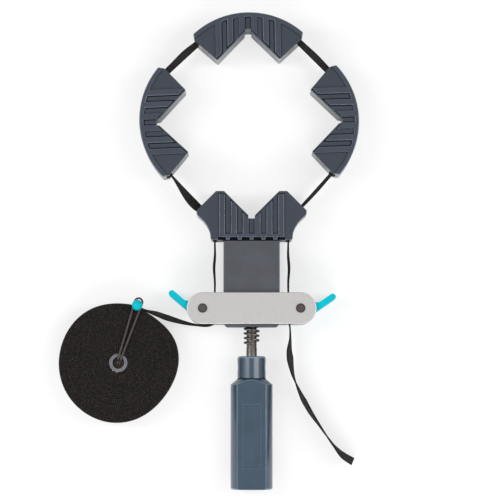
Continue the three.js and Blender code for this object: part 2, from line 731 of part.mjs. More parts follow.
// The band's channel on one side: narrow at the jaw's foot, and as wide at its mouth as in
// the loose jaws.
function fixedJawChannel(side) {
  const headings = loopHeadings();
  const turn = side < 0 ? loopTurns[0] : loopTurns[loopTurns.length - 1];
  const chord = side < 0 ? headings[1] : headings[headings.length - 2];
  const upright = side < 0 ? headings[0] : headings[headings.length - 1];
  const footReach = [BAND_THICKNESS / 2 + FOOT_CHANNEL_INNER_PLAY, -BAND_THICKNESS / 2 - FOOT_CHANNEL_OUTER_PLAY];
  const mouthReach = [CHANNEL_WIDTH / 2, -CHANNEL_WIDTH / 2];
  const [inner, outer] = footReach.map((foot, edge) => {
    const below = FIXED_JAW_STANDOFF - OVERRUN;
    const points = [[side * (BAND_LINE - foot), below]];
    for (let i = 0; i <= ARC_STEPS; i += 1) {
      const { x, y, heading } = stationOn(turn, THREE.MathUtils.lerp(upright, chord, i / ARC_STEPS));
      const reach = THREE.MathUtils.lerp(foot, mouthReach[edge], i / ARC_STEPS);
      points.push([
        x - side * Math.abs(Math.sin(heading)) * reach,
        y + Math.abs(Math.cos(heading)) * reach,
      ]);
    }
    const [x, y] = points[points.length - 1];
    points.push([
      x + side * Math.abs(Math.cos(chord)) * FIXED_JAW_HEIGHT,
      y + Math.abs(Math.sin(chord)) * FIXED_JAW_HEIGHT,
    ]);
    return points;
  });
  return prism(outline([...outer, ...inner.reverse()]), CHANNEL_BACK, CHANNEL_FRONT);
}

function fixedJawField() {
  const sill = FIXED_JAW_STANDOFF + FIXED_JAW_SILL;
  const below = FIXED_JAW_STANDOFF - OVERRUN;
  const above = FIXED_JAW_TOP + OVERRUN;
  const landsHalf = ((LAND_COUNT - 1) * LAND_PERIOD + LAND_WIDTH) / 2;
  const beyond = FIXED_JAW_HALF_WIDTH + OVERRUN;
  const right = [[landsHalf, sill], [landsHalf, below], [beyond, below], [beyond, above]];
  return outline([...right, ...right.map(([x, y]) => [-x, y]).reverse()]);
}

// A notch at the foot of each land, on both faces.
function slotCutters() {
  const cutters = [];
  const [lower, upper] = [FIXED_JAW_STANDOFF - OVERRUN, FIXED_JAW_STANDOFF + SLOT_HEIGHT];
  for (let index = 0; index < LAND_COUNT; index += 1) {
    const centre = (index - (LAND_COUNT - 1) / 2) * LAND_PERIOD;
    const [left, right] = [centre - SLOT_WIDTH / 2, centre + SLOT_WIDTH / 2];
    cutters.push(block(left, right, lower, upper, -OVERRUN, SLOT_DEPTH));
    cutters.push(block(left, right, lower, upper, DEPTH - SLOT_DEPTH, DEPTH + OVERRUN));
  }
  return cutters;
}

function addFixedJaw() {
  const below = FIXED_JAW_STANDOFF - OVERRUN;
  const edgeOf = (distance) => Math.min(FIXED_V_BASE + distance - NOTCH_HALF_WIDTH, FIXED_JAW_TOP);
  const lands = landOutlines(edgeOf, -LAND_SETBACK, below);
  const padPocket = turnedAlongY(cylinderProfile(PAD_RADIUS + GAP, below, PAD_POCKET_TOP), MEDIUM_STEPS);
  const screwHoles = [-1, 1].map((side) => turnedAlongY(
    cylinderProfile(SCREW_SHANK_RADIUS + GAP, below, SCREW_TIP + GAP), SMALL_STEPS, side * SCREW_LINE));
  add('fixed_jaw', cut(prism(fixedJawOutline(), 0, DEPTH), [
    fixedJawChannel(-1),
    fixedJawChannel(1),
    padPocket,
    ...screwHoles,
    ...fieldCutters(fixedJawField(), lands),
    ...slotCutters(),
  ]), jawPlastic);
}

// Threaded rod about the spindle's line, from the rings below its thread to those above it.
// The thread is one helical surface of rows round the rod, one row for each corner of the
// tooth in each turn. A row climbs one pitch in a turn, so its end meets the same corner's
// row of the next turn. The tooth grows over the first turn and fades over the last one.
// play widens it all round, for the nut's own thread.
function threadedRod(start, turns, below, above, play) {
  const halfCrest = THREAD_CREST_WIDTH / 2 + play;
  const halfBase = halfCrest + THREAD_FLANK_WIDTH;
  const tooth = [[0, -halfBase], [1, -halfCrest], [1, halfCrest], [0, halfBase]];
  const root = THREAD_ROOT_RADIUS + play;
  const positions = [];
  const triangles = [];
  const vertex = (radius, share, y) => {
    const angle = 2 * Math.PI * share;
    positions.push(radius * Math.sin(angle), y, radius * Math.cos(angle));
    return positions.length / 3 - 1;
  };
  const ring = (vertexAt) => Array.from({ length: THREAD_STEPS }, (_, i) => vertexAt(i / THREAD_STEPS));
  const rows = [];
  for (let turn = 0; turn + 1 < turns; turn += 1) {
    for (const [rise, offset] of tooth) {
      rows.push(ring((share) => {
        const place = turn + share;
        const fade = Math.min(place, 1, turns - 1 - place);
        const radius = root + rise * fade * (THREAD_CREST_RADIUS - THREAD_ROOT_RADIUS);
        return vertex(radius, share, start + (place + 1 / 2) * THREAD_PITCH + offset);
      }));
    }
  }
  const lowerRings = below.map(([radius, y]) => ring((share) => vertex(radius, share, y)));
  const upperRings = above.map(([radius, y]) => ring((share) => vertex(radius, share, y)));
  const foot = lowerRings[lowerRings.length - 1];
  const head = upperRings[0];
  const first = rows[0];
  const last = rows[rows.length - 1];
  const end = THREAD_STEPS - 1;
  const quad = (a, b, c, d) => triangles.push(a, b, c, a, c, d);
  const belt = (lower, upper, count) => {
    for (let i = 0; i < count; i += 1) {
      const next = (i + 1) % THREAD_STEPS;
      quad(lower[i], lower[next], upper[next], upper[i]);
    }
  };
  for (let r = 0; r + 1 < rows.length; r += 1) belt(rows[r], rows[r + 1], end);
  for (let r = 0; r + 1 + tooth.length < rows.length; r += 1) {
    quad(rows[r][end], rows[r + tooth.length][0], rows[r + tooth.length + 1][0], rows[r + 1][end]);
  }
  // The first turn's step down to the foot, and the last turn's step up to the head.
  belt(foot, first, end);
  quad(foot[end], foot[0], first[0], first[end]);
  for (let r = 0; r < tooth.length; r += 1) triangles.push(first[end], rows[r][0], rows[r + 1][0]);
  belt(last, head, end);
  for (let r = rows.length - 1 - tooth.length; r + 1 < rows.length; r += 1) {
    triangles.push(rows[r][end], last[0], rows[r + 1][end]);
  }
  quad(last[end], last[0], head[0], head[end]);
  for (let k = 0; k + 1 < lowerRings.length; k += 1) belt(lowerRings[k], lowerRings[k + 1], THREAD_STEPS);
  for (let k = 0; k + 1 < upperRings.length; k += 1) belt(upperRings[k], upperRings[k + 1], THREAD_STEPS);
  // Both ends
  const bottom = vertex(0, 0, below[0][1]);
  const top = vertex(0, 0, above[above.length - 1][1]);
  const topRing = upperRings[upperRings.length - 1];
  for (let i = 0; i < THREAD_STEPS; i += 1) {
    const next = (i + 1) % THREAD_STEPS;
    triangles.push(bottom, lowerRings[0][next], lowerRings[0][i]);
    triangles.push(top, topRing[i], topRing[next]);
  }
  return fromTriangles(positions, triangles).translate(0, 0, MIDDLE);
}

function addSpindle() {
  const shankEnd = HANDLE_TOP - SHANK_INSERTION;
  const rod = threadedRod(
    THREAD_START,
    THREAD_TURNS,
    [[SHANK_RADIUS, shankEnd], [SHANK_RADIUS, THREAD_START], [THREAD_ROOT_RADIUS, THREAD_START]],
    [[THREAD_ROOT_RADIUS, THREAD_TOP], [NECK_RADIUS, THREAD_TOP], [NECK_RADIUS, NECK_TOP]],
    0);
  add('spindle', cut(rod, [pinHole()]), spindleSteel);
}

function pinHole() {
  const reach = COLLAR_RADIUS + OVERRUN;
  return cylinderAlongX(HANDLE_PIN_RADIUS + GAP, -reach, reach, HANDLE_TOP - HANDLE_PIN_DROP);
}

// The nut, with arms that reach into the cheeks. Its thread is cut in step with the spindle's.
function addNut() {
  const armReach = CHEEK_OUTER - GAP;
  const half = NUT_HEIGHT / 2;
  const body = join(
    block(-NUT_HALF_WIDTH, NUT_HALF_WIDTH, -half, half, MIDDLE - NUT_HALF_DEPTH, MIDDLE + NUT_HALF_DEPTH),
    block(-armReach, armReach, -ARM_HALF, ARM_HALF, MIDDLE - ARM_HALF, MIDDLE + ARM_HALF));
  const turnsBelow = Math.ceil((THREAD_START + (NUT_THREAD_TURNS / 2) * THREAD_PITCH) / THREAD_PITCH);
  const start = THREAD_START - turnsBelow * THREAD_PITCH;
  const end = start + NUT_THREAD_TURNS * THREAD_PITCH;
  const root = THREAD_ROOT_RADIUS + GAP;
  const cutter = threadedRod(start, NUT_THREAD_TURNS, [[root, start]], [[root, end]], GAP);
  add('spindle_nut', cut(body, [cutter]), brightSteel);
}

// The spindle's end in the slider and the fixed jaw

function addThrustWasher() {
  const [from, to] = [THREAD_TOP + GAP, THREAD_TOP + GAP + WASHER_THICKNESS];
  const hole = cylinderProfile(NECK_RADIUS + GAP, from - OVERRUN, to + OVERRUN);
  const disc = turnedAlongY(cylinderProfile(WASHER_RADIUS, from, to), MEDIUM_STEPS);
  add('thrust_washer', cut(disc, [turnedAlongY(hole, SMALL_STEPS)]), brightSteel);
}

function addRetainingRing() {
  const half = RETAINER_OPENING / 2;
  const shape = outline([
    ...arc(0, 0, RETAINER_RADIUS, half, 360 - half, ARC_STEPS),
    ...arc(0, 0, NECK_RADIUS + GAP, 360 - half, half, ARC_STEPS),
  ]);
  const ring = prism(shape, 0, RETAINER_THICKNESS);
  ring.rotateX(-Math.PI / 2).translate(0, FIXED_JAW_STANDOFF + GAP, MIDDLE);
  add('retaining_ring', ring, spindleSteel);
}

function addPressurePad() {
  const from = NECK_TOP + GAP;
  add('pressure_pad', turnedAlongY(cylinderProfile(PAD_RADIUS, from, from + PAD_THICKNESS), MEDIUM_STEPS), brightSteel);
}

// Handle: round, with a flat and a bare sunk panel on its front and back

function addHandle() {
  const bottom = HANDLE_TOP - HANDLE_LENGTH;
  const collarFoot = HANDLE_TOP - COLLAR_LENGTH;
  const body = turnedAlongY([
    [0, bottom],
    [HANDLE_RADIUS - HANDLE_END_CHAMFER, bottom],
    [HANDLE_RADIUS, bottom + HANDLE_END_CHAMFER],
    [HANDLE_RADIUS, collarFoot - SHOULDER_LENGTH],
    [COLLAR_RADIUS, collarFoot],
    [COLLAR_RADIUS, HANDLE_TOP - COLLAR_ROUNDING],
    [COLLAR_RADIUS - COLLAR_ROUNDING, HANDLE_TOP],
    [0, HANDLE_TOP],
  ], FINE_STEPS);
  const shankEnd = HANDLE_TOP - SHANK_INSERTION;
  const cutters = [
    turnedAlongY(cylinderProfile(SHANK_RADIUS + GAP, shankEnd - GAP, HANDLE_TOP + OVERRUN), SMALL_STEPS),
    pinHole(),
  ];
  const beyond = HANDLE_RADIUS + OVERRUN;
  const panelFoot = bottom + PANEL_RISE;
  const panelFloor = HANDLE_FLAT_DISTANCE - PANEL_DEPTH;
  for (const side of [-1, 1]) {
    const slab = (half, from, to, floor) => block(
      -half, half, from, to,
      Math.min(MIDDLE + side * floor, MIDDLE + side * beyond),
      Math.max(MIDDLE + side * floor, MIDDLE + side * beyond));
    cutters.push(slab(beyond, bottom - OVERRUN, HANDLE_TOP + OVERRUN, HANDLE_FLAT_DISTANCE));
    cutters.push(slab(PANEL_WIDTH / 2, panelFoot, panelFoot + PANEL_LENGTH, panelFloor));
  }
  add('handle', cut(body, cutters), handlePlastic);
}

function addHandlePin() {
  const half = COLLAR_RADIUS - GAP;
  add('handle_pin', cylinderAlongX(HANDLE_PIN_RADIUS, -half, half, HANDLE_TOP - HANDLE_PIN_DROP), brightSteel);
}

// Roll of spare band: one strip in a flat spiral, wound anticlockwise from the rim inwards.
// It lies on two strands of the elastic.

const ROLL_BASE = 2 * ELASTIC_RADIUS + GAP;
const ROLL_TOP = ROLL_BASE + BAND_WIDTH;
const ROLL_MIDDLE = ROLL_BASE + BAND_WIDTH / 2;

function rollStations() {
  const outerLine = ROLL_RADIUS - BAND_THICKNESS / 2;
  const innerLine = CORE_RADIUS + GAP + BAND_THICKNESS / 2;
  const steps = Math.floor(((outerLine - innerLine) / ROLL_PITCH) * ROLL_STEPS);
  const drift = ROLL_PITCH / (2 * Math.PI);
  const stations = [];
  for (let i = 0; i <= steps; i += 1) {
    const angle = radians(ROLL_START_ANGLE) + (2 * Math.PI * i) / ROLL_STEPS;
    const radius = outerLine - (ROLL_PITCH * i) / ROLL_STEPS;
    stations.push({
      x: ROLL_X + radius * Math.cos(angle),
      y: ROLL_Y + radius * Math.sin(angle),
      z: ROLL_MIDDLE,
      heading: angle + Math.PI / 2 + Math.atan2(drift, radius),
      lean: 0,
    });
  }
  return stations;
}

// The least distance between turns, from each station to the straight pieces a turn away.
function leastGap(stations) {
  const points = stations.map(({ x, y, z }) => new THREE.Vector3(x, y, z));
  const nearest = new THREE.Vector3();
  let least = Infinity;
  for (let i = 0; i < points.length; i += 1) {
    for (let j = i + ROLL_STEPS / 2; j + 1 < points.length; j += 1) {
      new THREE.Line3(points[j], points[j + 1]).closestPointToPoint(points[i], true, nearest);
      least = Math.min(least, nearest.distanceTo(points[i]));
    }
  }
  return least - BAND_THICKNESS;
}

function addRoll() {
  const stations = rollStations();
  console.log(`band_roll: least gap to itself ${leastGap(stations).toFixed(3)} mm`);
  add('band_roll', strip(stations), bandFabric);
}

function addRollCore() {
  const hole = cylinderProfile(CORE_BORE_RADIUS, ROLL_BASE - OVERRUN, ROLL_TOP + OVERRUN);
  const tube = turnedAlongZ(cylinderProfile(CORE_RADIUS, ROLL_BASE, ROLL_TOP), MEDIUM_STEPS, ROLL_X, ROLL_Y);
  add('roll_core', cut(tube, [turnedAlongZ(hole, SMALL_STEPS, ROLL_X, ROLL_Y)]), coreGrey);
}

// The band's free stretches, from between the block's plates to the roll and to its loose end.
// Both start straight, along the band's line between the plates.

function straightExit(side, foot) {
  return [PLATE_END_RADIUS, 0, foot].map((y) => [side * BAND_LINE, y, MIDDLE, 0]);
}

// Between the block and the roll: [share of the way, sag, rise, lean], where sag and rise are
// off the straight line, in band widths.
const LEAD_ROUTE = [
  [0.022, -0.165, 0.005, 0],
  [0.076, -0.255, 0.019, 0],
  [0.163, -0.308, 0.021, 0],
  [0.319, -0.325, 0.034, 3],
  [0.44, -0.298, 0.032, 6],
  [0.563, -0.246, 0.025, 9],
  [0.68, -0.183, 0.016, 11],
  [0.842, -0.068, -0.001, 8],
];

function addBandLead() {
  const { x: rollX, y: rollY, heading } = rollStations()[0];
  const exit = straightExit(-1, -LEAD_EXIT);
  const from = new THREE.Vector3(...exit[exit.length - 1]);
  const to = new THREE.Vector3(rollX - GAP * Math.cos(heading), rollY - GAP * Math.sin(heading), ROLL_MIDDLE);
  const between = LEAD_ROUTE.map(([share, sag, rise, lean]) => {
    const { x, y, z } = from.clone().lerp(to, share);
    return [x, y + sag * BAND_WIDTH, z + rise * BAND_WIDTH, lean];
  });
  add('band_lead', strip(stationsAlong([...exit, ...between, [to.x, to.y, to.z, 0]])), bandFabric);
}

// From the block's lower edge to the loose end: [outwards, along Y, height, lean], in band widths.
const TAIL_ROUTE = [
  [0.064, -0.109, 0.831, 0],
  [0.077, -0.559, 0.787, -4],
  [0.039, -1.047, 0.738, -9],
  [0.077, -1.397, 0.7, -12],
  [0.195, -2.034, 0.637, -12],
  [0.395, -2.578, 0.581, -10],
  [0.639, -3.091, 0.544, -8],
  [0.933, -3.609, 0.519, -6],
  [1.258, -4.084, 0.512, -5],
  [1.577, -4.547, 0.512, -4],
  [1.87, -4.941, 0.512, -4],
  [2.214, -5.309, 0.512, -5],
  [2.633, -5.578, 0.512, -6],
];

function addBandTail() {
  const free = TAIL_ROUTE.map(([outwards, along, height, lean]) => [
    BAND_LINE + outwards * BAND_WIDTH,
    along * BAND_WIDTH - PLATE_END_RADIUS,
    height * BAND_WIDTH,
    lean,
  ]);
  add('band_tail', strip(stationsAlong([...straightExit(1, -TAIL_EXIT), ...free])), bandFabric);
}

// Elastic that holds the roll: one cord from the ball's foot, over the rim, under the roll, up
// the core, round the ball's neck, and back the same way on the other side.

const BALL_DISTANCE = ROLL_RADIUS + BALL_OVERHANG;
const STRAND_HEIGHT = ROLL_TOP + GAP + ELASTIC_RADIUS;
const NECK_SPACING = BALL_NECK_RADIUS + GAP + ELASTIC_RADIUS;

// Half of the route as [out, across, z]: out from the core towards the ball, and across it.
function elasticHalf() {
  const clear = GAP + ELASTIC_RADIUS;
  const bend = clear * Math.SQRT1_2;
  const rim = ROLL_RADIUS;
  const bore = CORE_BORE_RADIUS - GAP;
  const side = STRAND_HALF_SPACING;
  return [
    [rim + clear, side, ROLL_TOP - GAP],
    [rim + clear, side, ROLL_MIDDLE],
    [rim + clear, side, ROLL_BASE],
    [rim + bend, side, ROLL_BASE - bend],
    [rim, side, ELASTIC_RADIUS],
    [(2 * rim + bore) / 3, side, ELASTIC_RADIUS],
    [(rim + 2 * bore) / 3, side, ELASTIC_RADIUS],
    [bore, side, ELASTIC_RADIUS],
    [bore - bend, side, ROLL_BASE - bend],
    [bore - clear, side, ROLL_BASE],
    [bore - clear, side, ROLL_MIDDLE],
    [bore - clear, side, ROLL_TOP],
    [bore - bend, side, ROLL_TOP + bend],
    [bore, side, STRAND_HEIGHT],
    [(rim + 2 * bore) / 3, (2 * side + NECK_SPACING) / 3, STRAND_HEIGHT],
    [(2 * rim + bore) / 3, (side + 2 * NECK_SPACING) / 3, STRAND_HEIGHT],
    [rim, NECK_SPACING, STRAND_HEIGHT],
    [BALL_DISTANCE + (2 * LOOP_REACH) / 3, NECK_SPACING, STRAND_HEIGHT],
  ];
}

function addElastic() {
  const half = elasticHalf();
  const far = [BALL_DISTANCE + LOOP_REACH, 0, STRAND_HEIGHT];
  const back = half.map(([out, across, z]) => [out, -across, z]).reverse();
  const angle = radians(BALL_ANGLE);
  const route = [...half, far, ...back].map(([out, across, z]) => [
    ROLL_X + out * Math.cos(angle) - across * Math.sin(angle),
    ROLL_Y + out * Math.sin(angle) + across * Math.cos(angle),
    z,
  ]);
  const section = new THREE.Shape(new THREE.EllipseCurve(0, 0, ELASTIC_RADIUS, ELASTIC_RADIUS).getPoints(TUBE_SIDES));
  const tube = new THREE.ExtrudeGeometry(section, { steps: route.length - 1, extrudePath: routeCurve(route) });
  add('elastic_loop', tube, elasticFabric);
}

function addBall() {
  const neckFoot = ROLL_TOP + GAP;
  const centre = neckFoot + BALL_NECK_HEIGHT + Math.sqrt(BALL_RADIUS ** 2 - BALL_NECK_RADIUS ** 2);
  const start = -Math.acos(BALL_NECK_RADIUS / BALL_RADIUS);
  const profile = [[0, neckFoot], [BALL_NECK_RADIUS, neckFoot]];
  for (let i = 0; i < BALL_STEPS; i += 1) {
    const angle = THREE.MathUtils.lerp(start, Math.PI / 2, i / BALL_STEPS);
    profile.push([BALL_RADIUS * Math.cos(angle), centre + BALL_RADIUS * Math.sin(angle)]);
  }
  profile.push([0, centre + BALL_RADIUS]);
  const angle = radians(BALL_ANGLE);
  const x = ROLL_X + BALL_DISTANCE * Math.cos(angle);
  const y = ROLL_Y + BALL_DISTANCE * Math.sin(angle);
  add('elastic_bead', turnedAlongZ(profile, MEDIUM_STEPS, x, y), turquoisePlastic);
}

addPlates();
addForBothSides(['left_rivet', 'right_rivet'], addRivet);
addForBothSides(['left_cheek', 'right_cheek'], addCheek);
addNut();
addLever('left_lever', -1, LEFT_LEVER_ANGLE);
addLever('right_lever', 1, RIGHT_LEVER_ANGLE);
addSlider();
addFixedJaw();
addForBothSides(['left_jaw_screw', 'right_jaw_screw'], addJawScrew);
addSpindle();
addThrustWasher();
addRetainingRing();
addPressurePad();
addHandle();
addHandlePin();
addLooseJaws();
addBandLoop();
addForBothSides(['left_band_run', 'right_band_run'], addBandRun);
addBandLead();
addBandTail();
addRoll();
addRollCore();
addElastic();
addBall();

export default group;
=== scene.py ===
# %% [markdown]
# A band clamp with four V jaws
# A woven band runs round three loose jaws and one fixed jaw. Two cam levers lock it between
# two steel plates, and a threaded spindle pushes the jaws up. The clamp lies on its back on
# a pale floor, with the spare band rolled up beside it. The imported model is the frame: each
# piece below is made in metres, right where the model has it. Routes are written in
# millimetres, and MM makes metres of them. MIDDLE is the height of the plane that halves the
# block, the jaws and the spindle.

import itertools
import math

import bmesh
import bpy
from mathutils import Matrix, Vector
from mathutils.bvhtree import BVHTree


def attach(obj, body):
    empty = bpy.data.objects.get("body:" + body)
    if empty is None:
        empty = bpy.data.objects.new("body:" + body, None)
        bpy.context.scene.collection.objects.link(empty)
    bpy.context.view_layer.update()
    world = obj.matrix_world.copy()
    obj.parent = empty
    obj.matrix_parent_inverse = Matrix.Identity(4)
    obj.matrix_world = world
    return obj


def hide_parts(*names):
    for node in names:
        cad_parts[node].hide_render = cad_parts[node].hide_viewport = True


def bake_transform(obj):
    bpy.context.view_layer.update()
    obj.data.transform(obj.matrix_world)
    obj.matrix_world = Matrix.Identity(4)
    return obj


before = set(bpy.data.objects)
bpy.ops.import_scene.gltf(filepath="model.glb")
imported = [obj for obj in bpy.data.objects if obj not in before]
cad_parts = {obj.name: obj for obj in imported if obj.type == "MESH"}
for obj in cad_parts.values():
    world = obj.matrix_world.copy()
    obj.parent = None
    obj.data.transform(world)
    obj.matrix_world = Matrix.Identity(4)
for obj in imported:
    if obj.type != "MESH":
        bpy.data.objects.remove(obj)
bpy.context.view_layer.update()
MM = 0.001
MIDDLE = 13.5

# %% [markdown]
# Camera
# The picture is taken from above, from a point over the handle's upper end, so the walls
# that face the handle show a little and those that face away do not. Its scale holds a
# little below the front faces. The camera is turned from a plain up vector, because a
# camera that looks down has no natural top.

# %% Camera
PIXELS = 500
PIXEL_SIZE = 0.65 * MM
AXIS_PIXEL = 251.6
PLATE_PIXEL = 308.4
SCALE_HEIGHT = 22 * MM
CAMERA_PIXEL = (245, 400)
CAMERA_HEIGHT = 1.6
SENSOR = 36


def link(thing):
    bpy.context.scene.collection.objects.link(thing)
    return thing


def seen_at(column, row):
    """The place that a pixel of the picture shows."""
    return Vector(((column - AXIS_PIXEL) * PIXEL_SIZE, (PLATE_PIXEL - row) * PIXEL_SIZE, SCALE_HEIGHT))


def make_camera(column, row):
    """A camera over one pixel of the picture, which looks at the picture's middle."""
    centre = seen_at(PIXELS / 2, PIXELS / 2)
    place = seen_at(column, row) + Vector((0, 0, CAMERA_HEIGHT))
    ahead = (centre - place).normalized()
    right = ahead.cross(Vector((0, 1, 0))).normalized()
    turn = Matrix((right, right.cross(ahead), -ahead)).transposed()
    data = bpy.data.cameras.new("camera")
    data.sensor_width = SENSOR
    data.lens = SENSOR * (centre - place).length / (PIXELS * PIXEL_SIZE)
    camera = link(bpy.data.objects.new("camera", data))
    camera.matrix_world = Matrix.Translation(place) @ turn.to_4x4()
    bpy.context.scene.camera = camera
    return camera


camera = make_camera(*CAMERA_PIXEL)
print("lens in mm:", round(camera.data.lens, 1))

# %% [markdown]
# Node trees as expressions
# Both materials and Geometry Nodes are long chains of small sums. A wrapped socket lets
# Python's own operators add the Math nodes, so that a pattern reads as a formula.

# %% Sockets with arithmetic


def pick(sockets, key):
    """A socket by its place or its name among those that are in use."""
    shown = [socket for socket in sockets if socket.enabled]
    if isinstance(key, int):
        return shown[key]
    return next(socket for socket in shown if key in (socket.name, socket.identifier))


class Value:
    """An output socket that can be used in sums."""

    def __init__(self, tree, socket):
        self.tree = tree
        self.socket = socket

    def __add__(self, other):
        return self.tree.math("ADD", self, other)

    __radd__ = __add__

    def __sub__(self, other):
        return self.tree.math("SUBTRACT", self, other)

    def __rsub__(self, other):
        return self.tree.math("SUBTRACT", other, self)

    def __mul__(self, other):
        return self.tree.math("MULTIPLY", self, other)

    __rmul__ = __mul__

    def __truediv__(self, other):
        return self.tree.math("DIVIDE", self, other)


class Tree:
    """A node tree. add() makes a node from its type, its settings and what feeds its sockets."""

    def __init__(self, node_tree):
        self.nodes = node_tree.nodes
        self.links = node_tree.links

    def feed(self, node, key, value):
        socket = pick(node.inputs, key)
        if isinstance(value, Value):
            self.links.new(value.socket, socket)
        else:
            socket.default_value = value

    def add(self, kind, settings=None, inputs=None, output=0):
        node = self.nodes.new(kind)
        for name, value in (settings or {}).items():
            setattr(node, name, value)
        for key, value in (inputs or {}).items():
            self.feed(node, key, value)
        return Value(self, pick(node.outputs, output))

    def math(self, operation, *values):
        return self.add("ShaderNodeMath", {"operation": operation}, dict(enumerate(values)))

    def wave(self, phase):
        """A sine, moved into 0 to 1."""
        return self.math("SINE", phase) * 0.5 + 0.5


# %% [markdown]
# Trees that make pieces
# What repeats or follows a path is made by Geometry Nodes. Each tree has named inputs for
# its sizes and ends in real geometry with its finish. A modifier's inputs are set by their
# identifiers before the object is first evaluated. Then the result becomes a mesh of its
# own, so nothing later depends on the tree.

# %% Trees that make pieces


class PieceTree(Tree):
    """A Geometry Nodes tree that works on a start, sweeps a shape, and takes sizes and a finish."""

    def __init__(self, name, start, shape, sizes):
        self.group = bpy.data.node_groups.new(name, "GeometryNodeTree")
        super().__init__(self.group)
        face = self.group.interface
        kinds = [(start, "Geometry"), (shape, "Object")] + [(size, "Float") for size in sizes]
        for title, kind in kinds + [("Finish", "Material")]:
            face.new_socket(title, in_out="INPUT", socket_type="NodeSocket" + kind)
        face.new_socket("Piece", in_out="OUTPUT", socket_type="NodeSocketGeometry")
        source = self.nodes.new("NodeGroupInput")
        self.given = {socket.name: Value(self, socket) for socket in source.outputs if socket.name}

    def store(self, geometry, name, value, kind="FLOAT", domain="POINT"):
        """The geometry with a value for each point or corner, kept under a name."""
        return self.add("GeometryNodeStoreNamedAttribute", {"data_type": kind, "domain": domain},
                        {"Geometry": geometry, "Name": name, "Value": value})

    def stored(self, name):
        return self.add(
            "GeometryNodeInputNamedAttribute", {"data_type": "FLOAT"}, {"Name": name}, "Attribute")

    def shape_of(self, name):
        return self.add("GeometryNodeObjectInfo", inputs={"Object": self.given[name]}, output="Geometry")

    def end(self, mesh):
        """The export drops instances, so the tree hands out real geometry."""
        mesh = self.add("GeometryNodeRealizeInstances", inputs={"Geometry": mesh})
        finish = self.given["Finish"]
        mesh = self.add("GeometryNodeSetMaterial", inputs={"Geometry": mesh, "Material": finish})
        sink = self.nodes.new("NodeGroupOutput")
        self.links.new(mesh.socket, sink.inputs["Piece"])
        return self.group


def final_mesh(source):
    """What an object's modifiers make of it, as a mesh of its own."""
    depsgraph = bpy.context.evaluated_depsgraph_get()
    return bpy.data.meshes.new_from_object(source.evaluated_get(depsgraph), depsgraph=depsgraph)


def made_by(group, name, start, **inputs):
    """The plain mesh that a tree makes on an object's data."""
    source = link(bpy.data.objects.new(name + "_start", start))
    modifier = source.modifiers.new("make", "NODES")
    modifier.node_group = group
    for item in group.interface.items_tree:
        if item.in_out == "INPUT" and item.name in inputs:
            modifier[item.identifier] = inputs[item.name]
    mesh = final_mesh(source)
    bpy.data.objects.remove(source)
    for extra in ("along", "across"):
        if extra in mesh.attributes:
            mesh.attributes.remove(mesh.attributes[extra])
    mesh.name = name
    return link(bpy.data.objects.new(name, mesh))


def triangles(piece):
    return sum(len(face.vertices) - 2 for face in piece.data.polygons)


# %% [markdown]
# A woven strap
# The band is the same 16 mm webbing everywhere, so one tree makes every stretch of it. It
# sweeps a section along a path and then raises and lowers the surface in step with the
# weft: each pick makes a small rib across the band, and a round bump where it turns back at
# the edge. The path's tilt leans the band. Lengths along and across it become its UV map,
# so that the fabric follows every bend.

# %% Woven strap tree
BAND_WIDTH = 16 * MM
BAND_THICKNESS = 0.95 * MM
PICK = 1.25 * MM
WARP = 0.8 * MM
EDGE_STRIP = 0.3 * MM


def strap_tree():
    tree = PieceTree(
        "woven strap", "Path", "Section", ("Half width", "Pick", "Step", "Warp", "Rib", "Edge bump"))
    given = tree.given
    path = tree.add(
        "GeometryNodeResampleCurve", {"mode": "LENGTH"}, {"Curve": given["Path"], "Length": given["Step"]})
    path = tree.store(path, "along", tree.add("GeometryNodeSplineParameter", output="Length"))
    place = tree.add("GeometryNodeInputPosition")
    height = tree.add("ShaderNodeSeparateXYZ", inputs={"Vector": place}, output="Y")
    section = tree.store(tree.shape_of("Section"), "across", height)
    mesh = tree.add(
        "GeometryNodeCurveToMesh", inputs={"Curve": path, "Profile Curve": section, "Fill Caps": True})

    along, across = tree.stored("along"), tree.stored("across")
    weft = along / given["Pick"] * (2 * math.pi)
    warp = tree.math("FLOOR", across / given["Warp"]) * math.pi
    at_edge = tree.math("GREATER_THAN", tree.math("ABSOLUTE", across) + EDGE_STRIP, given["Half width"])
    rib = tree.math("SINE", weft + warp) * given["Rib"] * (1 - at_edge)
    bump = tree.math("SINE", weft) * given["Edge bump"] * at_edge
    normal = tree.add("GeometryNodeInputNormal")
    offset = tree.add(
        "ShaderNodeVectorMath", {"operation": "SCALE"}, {"Vector": normal, "Scale": rib + bump}, "Vector")
    mesh = tree.add("GeometryNodeSetPosition", inputs={"Geometry": mesh, "Offset": offset})
    flat = tree.add("ShaderNodeCombineXYZ", inputs={"X": along, "Y": across})
    mesh = tree.store(mesh, "UVMap", flat, "FLOAT2", "CORNER")
    return tree.end(tree.add("GeometryNodeSetShadeSmooth", inputs={"Geometry": mesh}))


woven_strap = strap_tree()
print("woven strap:", len(woven_strap.nodes), "nodes")

# %% [markdown]
# Colours and the finish helper
# Colours are written as they look in the picture, from 0 to 255, and turned into the linear
# values that the shader works with. Each finish gets its own grain, tone and roughness from
# noise on Object coordinates, because a single flat colour never looks like a real surface.

# %% Colours and finishes


def linear(red, green, blue):
    """A colour of the picture as the shader wants it."""
    parts = (((c / 255 + 0.055) / 1.055) ** 2.4 if c > 10 else c / 3294 for c in (red, green, blue))
    return (*parts, 1)


def shade(colour, factor):
    return tuple(c * factor for c in colour[:3]) + (1,)


